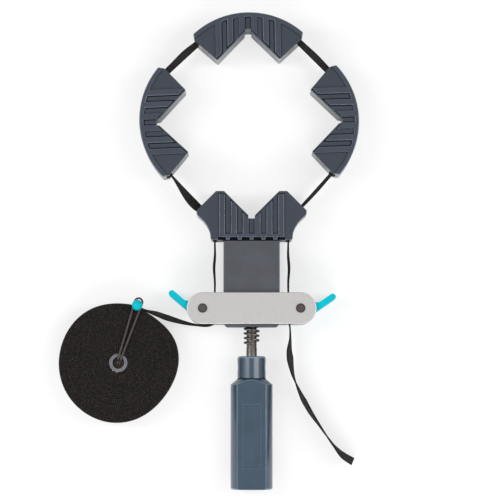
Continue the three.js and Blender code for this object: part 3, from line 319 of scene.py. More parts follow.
class Finish(Tree):
    """A material on a Principled shader. Extra values go to the shader's own sockets."""

    def __init__(self, name, **constants):
        self.material = bpy.data.materials.new(name)
        self.material.use_nodes = True
        super().__init__(self.material.node_tree)
        self.shader = self.nodes["Principled BSDF"]
        for key, value in constants.items():
            self.set(key.replace("_", " "), value)

    def set(self, key, value):
        self.feed(self.shader, key, value)

    def place(self):
        return self.add("ShaderNodeTexCoord", output="Object")

    def parts(self, vector):
        return [self.add("ShaderNodeSeparateXYZ", inputs={"Vector": vector}, output=axis) for axis in "XYZ"]

    def noise(self, place, size, detail=2, roughness=0.5):
        """Noise from 0 to 1, with lumps of about the given size in metres."""
        return self.add("ShaderNodeTexNoise", inputs={
            "Vector": place, "Scale": 1 / size, "Detail": detail, "Roughness": roughness})

    def stretched(self, place, *scale):
        return self.add("ShaderNodeMapping", inputs={"Vector": place, "Scale": scale})

    def mixed(self, first, second, share):
        """Between two colours."""
        inputs = {"Factor": share, "A": first, "B": second}
        return self.add("ShaderNodeMix", {"data_type": "RGBA"}, inputs, "Result")

    def span(self, value, low, high, out_low=0.0, out_high=1.0):
        """The value's span from low to high, laid over another span, and clamped there."""
        return self.add("ShaderNodeMapRange", inputs={
            "Value": value, "From Min": low, "From Max": high, "To Min": out_low, "To Max": out_high})

    def done(self, tone, roughness, height, depth):
        """The material with its colour, its roughness and a relief of the given depth."""
        normal = self.add("ShaderNodeBump", inputs={"Height": height, "Distance": depth, "Strength": 1.0})
        self.set("Base Color", tone)
        self.set("Roughness", roughness)
        self.set("Normal", normal)
        return self.material


print("half grey in the picture is", round(linear(128, 128, 128)[0], 3), "for the shader")

# %% [markdown]
# Moulded plastic
# The jaws, the slider, the handle and the levers are injection moulded. The mould's eroded surface leaves a
# fine even grain and the melt leaves faint clouds of tone. The rounded edges are smoother and get a painted
# highlight, and the inner corners get painted shade. So each plastic is a set of three finishes: for the
# faces, for the rounded edges and for the inner corners.
# Sunk fields of the jaws get painted shade: their faces are darker in a band of depth.

# %% Plastics


def plastic(name, colour, roughness, grain_size, grain_depth, cloud=0.1, coat=0.0, gloss=0.45, sunk=None):
    finish = Finish(name, Coat_Roughness=0.2, Specular_IOR_Level=gloss)
    place = finish.place()
    grain = finish.noise(place, grain_size, 3, 0.6)
    clouds = finish.noise(place, 14 * MM, 3)
    scuffs = finish.noise(finish.stretched(place, 1, 0.12, 1), 1.1 * MM, 4, 0.7)
    scuffed = finish.span(scuffs, 0.6, 0.78)
    tone = finish.mixed(shade(colour, 1 - cloud), shade(colour, 1 + cloud), finish.span(clouds, 0.3, 0.7))
    tone = finish.mixed(tone, shade(colour, 1.9), scuffed * 0.06)
    # Painted shade on the jaws' sunk fields, in a band of depth.
    if sunk:
        ground, rim = sunk
        height = finish.math("ABSOLUTE", finish.parts(place)[2] - MIDDLE * MM)
        above_ground = finish.span(height, ground, ground + 0.1 * MM)
        below_rim = finish.span(height, rim - 0.3 * MM, rim, 1, 0)
        tone = finish.mixed(tone, shade(colour, 0.86), above_ground * below_rim)
    if coat:
        finish.set("Coat Weight", coat)
    return finish.done(tone, roughness + (grain - 0.5) * 0.16 + scuffed * 0.1, grain, grain_depth)


def plastic_set(name, colour, roughness, grain_size, grain_depth, edge_highlight=2.0, greyed_highlight=0.0, **more):
    """Finishes for the faces, the rounded edges with a painted highlight and the inner corners with painted
    shade. A greyed highlight is less coloured.
    """
    grey = sum(colour[:3]) / 3
    # Rounded edges get a lighter copy of the colour: a painted highlight.
    edge = tuple((c + greyed_highlight * (grey - c)) * edge_highlight for c in colour[:3]) + (1,)
    return (plastic(name, colour, roughness, grain_size, grain_depth, **more),
            plastic(name + ", edge with painted highlight", edge, 0.8 * roughness, 0.6 * MM, 0.3 * grain_depth, **more),
            # Inner corners get a nearly black, dull copy of the colour: painted shade.
            plastic(name + ", painted shade in inner corners", shade(colour, 0.08), 0.75, grain_size, grain_depth,
                    **{**more, "coat": 0.0, "gloss": 0.1}))


JAW_BLUE = linear(55, 62, 73)
HANDLE_BLUE = linear(56, 73, 88)
SLIDER_GREY = linear(66, 68, 76)
CORE_GREY = linear(84, 84, 90)
TURQUOISE = linear(0, 176, 190)
jaw_plastic = plastic_set(
    "jaw plastic", JAW_BLUE, 0.24, 0.45 * MM, 0.012 * MM, 1.8, coat=0.25, sunk=(11.9 * MM, 12.7 * MM))
slider_plastic = plastic_set("slider plastic", SLIDER_GREY, 0.5, 0.4 * MM, 0.06 * MM, 1.5, cloud=0.14)
handle_plastic = plastic_set(
    "handle plastic", HANDLE_BLUE, 0.24, 0.8 * MM, 0.01 * MM, 3.2, greyed_highlight=0.25, cloud=0.08, coat=0.3)
turquoise_plastic = plastic_set(
    "turquoise plastic", TURQUOISE, 0.34, 0.7 * MM, 0.01 * MM, 1.25, cloud=0.06, gloss=0.12)
core_plastic = plastic_set("core plastic", CORE_GREY, 0.45, 0.5 * MM, 0.02 * MM, 1.8)
print("jaw plastic:", [finish.name for finish in jaw_plastic])

# %% [markdown]
# Steel
# The plates are blasted and zinc plated: pale, with a fine sparkle of grains. The rivets and screws are
# turned, so their marks run in rings, and each rivet head gets a painted highlight in its middle and painted
# shade at its rim. The spindle's thread is rolled, and outside its root it is darker and duller. Zinc, oil
# and dust cover the bare metal, so Metallic stays below 1.

# %% Steels
RIVET_LINE = 31.75 * MM
RING_PITCH = 0.42 * MM


def blasted_steel(name, colour, roughness):
    finish = Finish(name, Metallic=0.55)
    place = finish.place()
    grain = finish.noise(place, 0.42 * MM, 4, 0.75)
    clouds = finish.noise(place, 9 * MM, 4, 0.6)
    specks = finish.span(finish.noise(place, 0.8 * MM, 2), 0.62, 0.72)
    tone = finish.mixed(shade(colour, 0.9), shade(colour, 1.08), finish.span(grain, 0.3, 0.7))
    tone = finish.mixed(tone, shade(colour, 0.72), specks * 0.5)
    return finish.done(tone, roughness + (clouds - 0.5) * 0.2 + (grain - 0.5) * 0.2, grain, 0.04 * MM)


def worked_steel(name, colour, roughness, scale, darker_from=None):
    """Steel with marks that are short along the axes of large scale, darker and duller outside of a radius.
    """
    finish = Finish(name, Metallic=0.9)
    place = finish.place()
    marks = finish.noise(finish.stretched(place, *scale), 2 * MM, 4, 0.7)
    stains = finish.noise(place, 3 * MM, 4, 0.6)
    tone = finish.mixed(shade(colour, 0.72), shade(colour, 1.2), finish.span(marks, 0.3, 0.7))
    tone = finish.mixed(tone, shade(colour, 0.55), finish.span(stains, 0.55, 0.75) * 0.5)
    wear = roughness + (stains - 0.5) * 0.3
    # Outside the given radius the steel is darker and duller.
    if darker_from:
        across, _, height = finish.parts(place)
        height = height - MIDDLE * MM
        radius = finish.math("SQRT", across * across + height * height)
        darker_outside = finish.span(radius, darker_from, darker_from + 0.4 * MM)
        tone = finish.mixed(tone, shade(colour, 0.4), darker_outside * 0.8)
        wear = wear + darker_outside * 0.12
    return finish.done(tone, wear, marks, 0.02 * MM)


def rivet_steel(name, colour):
    """Dark turned heads: rings round the nearer rivet's line, with a painted highlight in the middle and
    painted shade at the rim.
    """
    finish = Finish(name, Metallic=0.8)
    place = finish.place()
    x, y, _ = finish.parts(place)
    off = finish.math("ABSOLUTE", x) - RIVET_LINE
    radius = finish.math("SQRT", off * off + y * y)
    rings = finish.wave(radius * (2 * math.pi / RING_PITCH))
    # Painted highlight at the head's middle, painted shade towards its rim.
    rim = finish.span(radius, 2.0 * MM, 2.7 * MM)
    stains = finish.noise(place, 1.2 * MM, 4, 0.65)
    tone = finish.mixed(shade(colour, 1.25), shade(colour, 0.6), rim)
    tone = finish.mixed(tone, shade(colour, 0.8), finish.span(stains, 0.45, 0.7) * 0.6)
    return finish.done(tone, 0.42 + rings * 0.1 + (stains - 0.5) * 0.2, rings + stains, 0.015 * MM)


# The second plate finish, lighter and glossier, is a painted highlight on the rounded edges.
plate_steel = (blasted_steel("plate steel", linear(186, 185, 184), 0.5),
               blasted_steel("plate steel, painted highlight on edges", linear(208, 207, 206), 0.38))
rivet_face = rivet_steel("rivet steel", linear(78, 73, 70))
spindle_face = worked_steel("spindle steel", linear(134, 129, 126), 0.26, (1, 6, 1), darker_from=3.55 * MM)
machined_steel = worked_steel("machined steel", linear(160, 161, 163), 0.4, (6, 1, 1))
print("rivet steel:", len(rivet_face.node_tree.nodes), "nodes")

# %% [markdown]
# Fabric
# The band is black webbing. Its yarns run along it, and pass over and under the weft in
# turn, which shows as a small diagonal pattern of grey-brown specks. The pattern is a
# formula on the UV map, which holds metres along and across the band. The thin elastic is
# braided, so its pattern is two crossing slants.

# %% Fabrics
ELASTIC_RADIUS = 0.65 * MM
BRAID_PITCH = 1.1 * MM
BRAID_YARNS = 4


def flat_place(finish):
    uv = finish.add("ShaderNodeUVMap", {"uv_map": "UVMap"})
    return finish.parts(uv)[:2]


def webbing(name, dark, light):
    finish = Finish(name, Specular_IOR_Level=0.12, Sheen_Roughness=0.5, Sheen_Weight=0.03)
    along, across = flat_place(finish)
    column = finish.math("FLOOR", across / WARP)
    over_weft = finish.wave(along / PICK * (2 * math.pi) + column * math.pi)
    yarn = finish.math("SINE", finish.math("FRACT", across / WARP) * math.pi)
    long_lumps = finish.add("ShaderNodeCombineXYZ", inputs={"X": along * 0.25, "Y": across})
    strands = finish.noise(long_lumps, 0.12 * MM, 2)
    lint = finish.noise(finish.place(), 1.6 * MM, 4, 0.7)
    crown = over_weft * yarn
    worn = finish.span(crown, 0.45, 1.0) * finish.span(lint, 0.42, 0.66)
    return finish.done(
        finish.mixed(dark, light, worn), 0.86 + (strands - 0.5) * 0.25, crown + strands * 0.35, 0.16 * MM)


def braid(name, dark, light, radius):
    finish = Finish(name, Specular_IOR_Level=0.2, Sheen_Roughness=0.4, Sheen_Weight=0.05)
    along, around = flat_place(finish)
    turn = around * (2 * math.pi * BRAID_YARNS)
    slant = along * (2 * math.pi / BRAID_PITCH)
    crossing = finish.wave(turn + slant) * finish.wave(turn - slant)
    fibres = finish.noise(finish.place(), 0.15 * MM, 3, 0.7)
    tone = finish.mixed(dark, light, finish.span(crossing + fibres * 0.5, 0.2, 0.9))
    return finish.done(tone, 0.8 + (fibres - 0.5) * 0.2, crossing, 0.12 * radius)


band_fabric = webbing("band webbing", linear(28, 24, 24), linear(92, 84, 80))
elastic_fabric = braid("elastic braid", linear(44, 40, 38), linear(108, 100, 94), ELASTIC_RADIUS)
print("band webbing:", len(band_fabric.node_tree.nodes), "nodes")

# %% [markdown]
# The band's section
# The section is a flat rectangle with blunt corners. Its points across the band carry the
# rib pattern, so a stretch that is seen face on gets more of them than the roll, where only
# the edges and the outer turn show. In the roll the fluffy turns touch, so the section is
# thicker there and closes the gaps between them.

# %% Section of the band
CORNER_LENGTH = 0.7
EDGE_THICKNESS = 0.55
WOUND_THICKNESS = 1.5 * MM


def path_curve(name, points, leans=None, closed=False):
    """A curve through points. Its tilt leans what is swept along it."""
    data = bpy.data.curves.new(name, "CURVE")
    data.dimensions = "3D"
    data.twist_mode = "Z_UP"
    spline = data.splines.new("POLY")
    spline.points.add(len(points) - 1)
    spline.use_cyclic_u = closed
    for index, point in enumerate(points):
        spline.points[index].co = (*point, 1)
        spline.points[index].tilt = -leans[index] if leans else 0
    return data


def section_object(name, columns, thickness=BAND_THICKNESS):
    half, side = BAND_WIDTH / 2, thickness / 2
    inner = half - CORNER_LENGTH * side
    face = [inner * (2 * i / (columns - 1) - 1) for i in range(columns)]
    points = [(side, y) for y in face] + [(EDGE_THICKNESS * side, half)]
    points += [(-x, -y) for x, y in points]
    data = path_curve(name, [(x, y, 0) for x, y in points], closed=True)
    return link(bpy.data.objects.new(name, data))


def in_metres(points):
    return [tuple(c * MM for c in p) for p in points]


def strap(name, route, leans, section, step=PICK / 4, rib=0.06 * MM, edge_bump=0.1 * MM):
    """A stretch of the band along a route in millimetres."""
    return made_by(woven_strap, name, path_curve(name, in_metres(route), leans), **{
        "Section": section, "Half width": BAND_WIDTH / 2, "Pick": PICK, "Step": step, "Warp": WARP,
        "Rib": rib, "Edge bump": edge_bump, "Finish": band_fabric})


fine_section = section_object("fine section", 21)
roll_section = section_object("roll section", 4, WOUND_THICKNESS)
print("section points:", [len(s.data.splines[0].points) for s in (fine_section, roll_section)])

# %% [markdown]
# Routes through knots
# On the left the band comes out below the plates and leans over a little on its way to the
# roll: the lead. On the right its loose end hangs out and lies down on the floor: the tail.
# Their knots are the model's own, with the lean in degrees as a fourth number. The same kind of spline
# smooths them: four knots at a time are blended in pairs, over the spans of their times, until one point is
# left.

# %% Routes through knots
LEAD_KNOTS = [
    (-23.975, 10.25, 13.5, 0), (-23.975, 0, 13.5, 0), (-23.975, -7, 13.5, 0), (-25, -9.5, 13.5, 0),
    (-27.5, -10.6, 13.5, 0), (-31.5, -10.9, 13.2, 0), (-38.7, -10.2, 12.8, 3), (-44.3, -9, 12.3, 6),
    (-50, -7.4, 11.7, 9), (-55.4, -5.65, 11.1, 11), (-62.9, -2.8, 10.2, 8),
]
TAIL_KNOTS = [
    (23.975, 10.25, 13.5, 0), (23.975, 0, 13.5, 0), (23.975, -6, 13.5, 0), (25, -12, 13.3, -1),
    (25.2, -19.2, 12.6, -3), (24.6, -27, 11.8, -11), (25.2, -32.6, 11.2, -15), (27.1, -42.8, 10.2, -6),
    (30.3, -51.5, 9.3, 2), (34.2, -59.7, 8.7, 9), (38.9, -68, 8.3, 7), (44.1, -75.6, 8.2, 2),
    (49.2, -83, 8.2, -1), (53.9, -89.3, 8.2, -4), (59.4, -95.2, 8.2, -13), (66.1, -99.5, 8.2, -16),
]


SPANS = (((0, 1), (1, 2), (2, 3)), ((0, 2), (1, 3)), ((1, 2),))


def spline_through(knots, steps):
    """A centripetal spline through [x, y, z, lean] knots, and the leans along it."""
    places = [Vector(k[:3]) for k in knots]
    places = [2 * places[0] - places[1]] + places + [2 * places[-1] - places[-2]]
    points, leans = [], []
    for i, (knot, following) in enumerate(zip(knots, knots[1:])):
        t = [0.0]
        for a, b in zip(places[i:], places[i + 1:i + 4]):
            t.append(t[-1] + math.sqrt(max((b - a).length, 1e-6)))
        for s in range(steps + (i == len(knots) - 2)):
            share = s / steps
            u = t[1] + (t[2] - t[1]) * share
            row = places[i:i + 4]
            for spans in SPANS:
                row = [row[k].lerp(row[k + 1], (u - t[a]) / (t[b] - t[a])) for k, (a, b) in enumerate(spans)]
            points.append(row[0])
            leans.append(math.radians(knot[3] + (following[3] - knot[3]) * share))
    return points, leans


def route_length(points):
    """The length in metres of a route in millimetres."""
    return sum((b - a).length for a, b in zip(points, points[1:])) * MM


tail, tail_leans = spline_through(TAIL_KNOTS, 8)
print("tail:", len(tail), "points")

# %% [markdown]
# The roll
# The spare band winds into a flat roll of about 22 turns round a small core. It is wound by
# hand, so its turns have flats and corners, which fade towards the core and where the lead
# lies on it, and their edges don't lie quite level. Near the core a turn keeps its radius
# for most of a round and then steps up by one pitch.

# %% Turns of the roll
ROLL_CENTRE = Vector((-86.7, -35.2))
ROLL_BASE = 1.6
ROLL_RADIUS = 38.7
ROLL_PITCH = 1.4
ROLL_START = math.radians(64.9)
CORE_RADIUS = 6.1
CORE_PLAY = 0.3
HALF_THICKNESS = BAND_THICKNESS / 2 / MM
HALF_WIDTH = BAND_WIDTH / 2 / MM
POINTS_ROUND = 120
INNER_END = 0.06
STEP_SHARE = 0.1
STEPPED_TURNS = 12
MEAN_SWELL = 0.35
LEAD_REACH = 0.45
CORNER_WAVES = ((0.5, 2, 69), (0.79, 3, 50.7), (0.38, 4, 71.6))
LEVEL_WAVES = ((0.13, 8.61, 0), (0.08, 19.5, 1), (0.04, 43, 0))


def roll_unevenness(angle, radius):
    """How far a turn stands out of a true circle."""
    swell = sum(height * math.cos(count * angle - math.radians(turned))
                for height, count, turned in CORNER_WAVES)
    beside_lead = math.exp(-(math.remainder(angle - ROLL_START, 2 * math.pi) / LEAD_REACH) ** 2)
    return (MEAN_SWELL + swell) * (1 - beside_lead) * (radius / ROLL_RADIUS) ** 2


def smooth_step(share):
    """From 0 to 1, with a soft start and end."""
    share = min(max(share, 0), 1)
    return share * share * (3 - 2 * share)


def climb(wound):
    """How many pitches lie under a turn: the first turns lie flat on the core, then step up."""
    wound = max(wound, 0)
    stair = math.floor(wound) + smooth_step((wound % 1 - (1 - STEP_SHARE)) / STEP_SHARE)
    return wound + (stair - wound) * max(1 - wound / STEPPED_TURNS, 0)


def by_roll(radius, angle, height):
    """A place at a radius and an angle from the roll's centre."""
    x, y = ROLL_CENTRE
    return Vector((x + radius * math.cos(angle), y + radius * math.sin(angle), height))


def roll_points():
    outer = ROLL_RADIUS - HALF_THICKNESS
    inner = CORE_RADIUS + CORE_PLAY + HALF_THICKNESS
    turns = (outer - inner) / ROLL_PITCH
    points = []
    for i in range(int((turns + INNER_END) * POINTS_ROUND) + 1):
        turn = i / POINTS_ROUND
        angle = ROLL_START + 2 * math.pi * turn
        radius = inner + ROLL_PITCH * climb(turns - turn)
        radius += roll_unevenness(angle, radius)
        lift = sum(height * math.sin(rate * turn + start) for height, rate, start in LEVEL_WAVES)
        points.append(by_roll(radius, angle, ROLL_BASE + HALF_WIDTH + lift * min(turn, 1)))
    return points


spiral = roll_points()
print("roll:", len(spiral) // POINTS_ROUND, "turns")

# %% [markdown]
# Spare band and band end
# The lead and the roll are one piece of cloth, wound up flat, so one strap makes them both. The tail is the
# band's bare, flat end. The roll shows less of its face, so its ribs are lower and its edges are bumpier than
# elsewhere.

# %% Spare band and band end
lead, lead_leans = spline_through(LEAD_KNOTS + [(*spiral[0], 0)], 8)
spare, spare_leans = lead + spiral[1:], lead_leans + [0.0] * (len(spiral) - 1)
spare_band = strap("spare_band", spare, spare_leans, roll_section, PICK / 3, 0.04 * MM, 0.12 * MM)
spare_length = route_length(spare)
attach(spare_band, "block")
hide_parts("band_lead", "band_roll")
print("spare band:", round(spare_length, 3), "m,", triangles(spare_band), "triangles")

band_end = strap("band_end", tail, tail_leans, fine_section)
tail_length = route_length(tail)
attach(band_end, "block")
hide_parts("band_tail")
in_metres(tail)[0]
in_metres(tail)
print("band end:", round(tail_length, 3), "m,", triangles(band_end), "triangles")

# %% [markdown]
# The loop round the jaws
# Between the jaws the band runs straight, and inside each loose jaw it follows an arc. The
# headings of the straight stretches come from the common tangents of the arcs. Off the
# jaws the band leans a few degrees, differently in each gap, as webbing does. A turn of the
# loop is the centre of its arc, the radius, and 1 where it bends to the left or -1 to the
# right. A gap's leans are those at its start, middle and end.

# %% Route of the loop
BAND_LINE = 23.975
PLATE_HALF = 10.25
STANDOFF = 44.3
RING = Vector((-1.6, 121.5))
LEFT_LIFT = 1.3
ARC_OFFSET = 18.2
ARC_RADIUS = 47.875
BEND_RADIUS = 12
BEND_RISE = 9.2
CHANNEL_PLAY = 0.25
ARC_STEPS = 32
GAP_STEPS = 24
GAP_LEANS = ((3, 21, 2), (6.5, 8.5, 4.5), (5.5, 7.5, 6), (7, 8, 5))
ARC_LEANS = (0, 5, 6, 5, 0)
STRONG_LEAN = 15

loop_turns = [
    (-BAND_LINE - BEND_RADIUS, STANDOFF + BEND_RISE, BEND_RADIUS, 1),
    (RING.x - ARC_OFFSET, RING.y + LEFT_LIFT, ARC_RADIUS, -1),
    (RING.x, RING.y + ARC_OFFSET, ARC_RADIUS, -1),
    (RING.x + ARC_OFFSET, RING.y, ARC_RADIUS, -1),
    (BAND_LINE + BEND_RADIUS, STANDOFF + BEND_RISE, BEND_RADIUS, 1),
]


def heading_between(first, second):
    dx, dy = second[0] - first[0], second[1] - first[1]
    reach = second[3] * second[2] - first[3] * first[2]
    return math.atan2(dy, dx) - math.asin(reach / math.hypot(dx, dy))


def leaned(x, y, heading, lean):
    """A point of the route and its lean. A leaned band needs more room, so it moves outwards."""
    out = max(HALF_WIDTH * math.sin(math.radians(abs(lean))) - CHANNEL_PLAY, 0)
    return Vector((x - out * math.sin(heading), y + out * math.cos(heading), MIDDLE)), math.radians(lean)


def arc_lean(index, share):
    """On a third of an arc at each end, the lean goes over into that of the gap there."""
    before = GAP_LEANS[index - 1][2] if index else 0
    after = GAP_LEANS[index][0] if index < len(GAP_LEANS) else 0
    level = ARC_LEANS[index]
    if share < 0.5:
        return before + (level - before) * min(share * 3, 1)
    return after + (level - after) * min((1 - share) * 3, 1)


def gap_lean(first, middle, last, share):
    """A gap leans most in its middle, and a strong lean comes earlier."""
    swell = math.sin(math.pi * share ** (0.6 if middle > STRONG_LEAN else 1)) ** 1.5
    return first + (last - first) * share + (middle - (first + last) / 2) * swell


def loop_route():
    headings = [math.pi / 2]
    headings += [heading_between(a, b) for a, b in zip(loop_turns, loop_turns[1:])]
    headings.append(-math.pi / 2)
    route = [leaned(-BAND_LINE, STANDOFF, math.pi / 2, 0)]
    for index, (x, y, radius, sense) in enumerate(loop_turns):
        arc = []
        for step in range(ARC_STEPS + 1):
            share = step / ARC_STEPS
            heading = headings[index] + (headings[index + 1] - headings[index]) * share
            arc.append((x + sense * radius * math.sin(heading), y - sense * radius * math.cos(heading),
                        heading, arc_lean(index, share)))
        if index:
            for step in range(1, GAP_STEPS):
                share = step / GAP_STEPS
                sx, sy = (a + (b - a) * share for a, b in zip(end, arc[0][:2]))
                route.append(leaned(sx, sy, headings[index], gap_lean(*GAP_LEANS[index - 1], share)))
        end = arc[-1][:2]
        route += [leaned(*place) for place in arc]
    route.append(leaned(BAND_LINE, STANDOFF, -math.pi / 2, 0))
    return [place for place, _ in route], [lean for _, lean in route]


loop, loop_leans = loop_route()
jaw_band = strap("jaw_band", loop, loop_leans, fine_section)
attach(jaw_band, "jaw_slider")
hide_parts("band_loop")
print("loop:", round(route_length(loop), 3), "m,", triangles(jaw_band), "triangles")

# %% [markdown]
# The two runs beside the slider
# These stretches join the block to the fixed jaw, and get shorter or longer as the jaw slides. At rest they
# are a little slack, so each has a slight bow.

# %% Runs beside the slider
RUN_STEPS = 24
RUN_BOW = 0.5
RUN_LEAN = math.radians(2)


def band_run(side, node):
    points, leans = [], []
    for step in range(RUN_STEPS + 1):
        share = step / RUN_STEPS
        bend = math.sin(math.pi * share) ** 2
        bow = RUN_BOW * bend * math.cos(2.2 * math.pi * share)
        y = PLATE_HALF + (STANDOFF - PLATE_HALF) * share
        points.append(Vector((side * (BAND_LINE - bow), y, MIDDLE)))
        leans.append(-side * RUN_LEAN * bend)
    piece = strap(node + "_woven", points, leans, fine_section)
    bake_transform(piece)
    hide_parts(node)
    return piece


for side, node in ((-1, "left_band_run"), (1, "right_band_run")):
    run = band_run(side, node)
    print(run.name, triangles(run), "triangles")

# %% [markdown]
# Skins on rings
# The elastic and the spindle's rod are both round, so both are made of rings of points with
# quads between them. On the elastic the length along it and the share round it become the
# UV map, because its braid follows the cord.

# %% Skins on rings


def angles(sides):
    return [2 * math.pi * k / sides for k in range(sides)]


def ring_skin(name, rings, lengths=None):
    """A closed mesh on rings of points, with a UV map where the rings' lengths are given."""
    mesh = bpy.data.meshes.new(name)
    made = bmesh.new()
    uv_layer = made.loops.layers.uv.new("UVMap") if lengths else None
    sides = len(rings[0])
    rings = [[made.verts.new(point) for point in ring] for ring in rings]
    for i, (ring, following) in enumerate(zip(rings, rings[1:])):
        for k in range(sides):
            n = (k + 1) % sides
            face = made.faces.new((ring[k], ring[n], following[n], following[k]))
            face.smooth = True
            if lengths:
                corners = ((i, k), (i, k + 1), (i + 1, k + 1), (i + 1, k))
                for corner, (row, column) in zip(face.loops, corners):
                    corner[uv_layer].uv = (lengths[row], column / sides)
    made.faces.new(list(reversed(rings[0])))
    made.faces.new(rings[-1])
    bmesh.ops.recalc_face_normals(made, faces=made.faces)
    made.to_mesh(mesh)
    made.free()
    return mesh


def tube(name, points, radius, finish, sides=12):
    """A round tube along a path. Its rings lean with the path and don't turn about it."""
    tangents = [(points[min(i + 1, len(points) - 1)] - points[max(i - 1, 0)]).normalized()
                for i in range(len(points))]
    across = tangents[0].orthogonal().normalized()
    rings, lengths = [], [0.0]
    for index, (point, tangent) in enumerate(zip(points, tangents)):
        if index:
            lengths.append(lengths[-1] + (point - points[index - 1]).length)
            across = (across - tangent * across.dot(tangent)).normalized()
        other = tangent.cross(across)
        rings.append([point + radius * (across * math.cos(a) + other * math.sin(a)) for a in angles(sides)])
    mesh = ring_skin(name, rings, lengths)
    mesh.shade_smooth()
    mesh.materials.append(finish)
    return link(bpy.data.objects.new(name, mesh))


# %% [markdown]
# The elastic
# One thin braided cord starts at the foot of the ball, goes over the rim, under the roll,
# up through the core, round the neck of the ball and back. It is a round tube along the
# model's own route, and the braid comes from its finish.

# %% Elastic
ROLL_TOP = 17.6
BALL_ANGLE = math.radians(71.5)
BALL_DISTANCE = ROLL_RADIUS + 0.6
NECK_START = BALL_DISTANCE + 3.23
NECK_END = BALL_DISTANCE + 4.85
STRAND_HEIGHT = 18.55
ELASTIC_PLAY = 0.3


def elastic_knots():
    """Knots of one half, seen along the line from the core to the ball, then of its mirror."""
    low = ELASTIC_RADIUS / MM
    clear = ELASTIC_PLAY + low
    bend = clear * math.sqrt(0.5)
    mid = (ROLL_BASE + ROLL_TOP) / 2
    rim, bore, side, neck = ROLL_RADIUS, 3.45, 0.95, 2.35
    third, widening = (rim - bore) / 3, (neck - side) / 3
    half = [
        (rim + clear, side, ROLL_TOP - ELASTIC_PLAY), (rim + clear, side, mid),
        (rim + clear, side, ROLL_BASE), (rim + bend, side, ROLL_BASE - bend), (rim, side, low),
        (rim - third, side, low), (bore + third, side, low), (bore, side, low),
        (bore - bend, side, ROLL_BASE - bend), (bore - clear, side, ROLL_BASE), (bore - clear, side, mid),
        (bore - clear, side, ROLL_TOP), (bore - bend, side, ROLL_TOP + bend), (bore, side, STRAND_HEIGHT),
        (bore + third, side + widening, STRAND_HEIGHT), (rim - third, neck - widening, STRAND_HEIGHT),
        (rim, neck, STRAND_HEIGHT), (NECK_START, neck, STRAND_HEIGHT),
    ]
    route = half + [(NECK_END, 0, STRAND_HEIGHT)]
    route += [(out, -across, z) for out, across, z in reversed(half)]
    c, s = math.cos(BALL_ANGLE), math.sin(BALL_ANGLE)
    return [(ROLL_CENTRE.x + out * c - across * s, ROLL_CENTRE.y + out * s + across * c, z, 0)
            for out, across, z in route]


elastic_route, _ = spline_through(elastic_knots(), 10)
elastic_path = [p * MM for p in elastic_route]
elastic_length = route_length(elastic_route)
elastic = tube("elastic_cord", elastic_path, ELASTIC_RADIUS, elastic_fabric)
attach(elastic, "block")
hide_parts("elastic_loop")
print("elastic:", round(elastic_length, 3), "m,", triangles(elastic), "triangles")

# %% [markdown]
# The coil in the core
# A coil of the elastic fills the core's bore as painted shade: a dark thing that keeps the white floor from
# showing through the bore. It has one wide turn against the wall, and a narrow one that fills the middle. Its
# tube is thicker than the cord's.

# %% Coil in the core
COIL_TURNS = 2.4
COIL_POINTS = 90
COIL_HEIGHT = 11.8
COIL_RISE = 0.6
WIDE_TURN = 2.75
NARROW_TURN = 0.95
NARROWING = 0.25
SLACK_RADIUS = 0.97 * MM


def coil_path():
    points = []
    for i in range(COIL_POINTS + 1):
        turn = COIL_TURNS * i / COIL_POINTS
        radius = WIDE_TURN + (NARROW_TURN - WIDE_TURN) * smooth_step((turn - 1) / NARROWING)
        points.append(by_roll(radius, BALL_ANGLE + 2 * math.pi * turn, COIL_HEIGHT + COIL_RISE * turn) * MM)
    return points


# Painted shade: the dark coil stands in the bore, where only shade falls.
coil = tube("elastic_coil", coil_path(), SLACK_RADIUS, elastic_fabric)
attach(coil, "block")
print("coil:", triangles(coil), "triangles")

# %% [markdown]
# The spindle's thread
# A trapezoid tooth follows a helix, and fades at both ends as a rolled thread does. In
# Geometry Nodes a Spiral gives the helix, its radius fades the section, and Curve to Mesh
# sweeps it. The rod itself is a turned shape that joins it in the same tree.

# %% Thread tree


def thread_tree(sides=48, fade_rate=2.5, thinnest=0.05):
    tree = PieceTree("thread", "Rod", "Tooth", ("Root radius", "Pitch", "Turns", "Start"))
    given = tree.given
    helix = tree.add("GeometryNodeCurveSpiral", inputs={
        "Resolution": sides, "Rotations": given["Turns"], "Start Radius": given["Root radius"],
        "End Radius": given["Root radius"], "Height": given["Pitch"] * given["Turns"]})
    helix = tree.add("GeometryNodeSetCurveNormal", {"mode": "Z_UP"}, {"Curve": helix})
    share = tree.add("GeometryNodeSplineParameter", output="Factor")
    ends = tree.math("MINIMUM", share * given["Turns"], (1 - share) * given["Turns"])
    fade = tree.math("MINIMUM", ends * fade_rate + thinnest, 1.0)
    mesh = tree.add("GeometryNodeCurveToMesh", inputs={
        "Curve": helix, "Profile Curve": tree.shape_of("Tooth"), "Scale": fade, "Fill Caps": True})
    shift = tree.add("ShaderNodeCombineXYZ", inputs={"Y": given["Start"], "Z": MIDDLE * MM})
    mesh = tree.add("GeometryNodeTransform", inputs={
        "Geometry": mesh, "Translation": shift, "Rotation": (-math.pi / 2, 0, 0)})
    mesh = tree.add("GeometryNodeSetShadeSmooth", inputs={"Geometry": mesh, "Shade Smooth": False})
    both = tree.nodes.new("GeometryNodeJoinGeometry")
    for part in (mesh, given["Rod"]):
        tree.links.new(part.socket, both.inputs[0])
    return tree.end(Value(tree, both.outputs[0]))


thread = thread_tree()
print("thread:", len(thread.nodes), "nodes")

# %% [markdown]
# The spindle
# Its tooth has slanted flanks and blunt corners, and its foot is sunk into the rod, so that
# no gap shows. From the handle on, the rod is a plain shank, the root of the thread and a
# thinner tip, with short cones between them and at both ends.

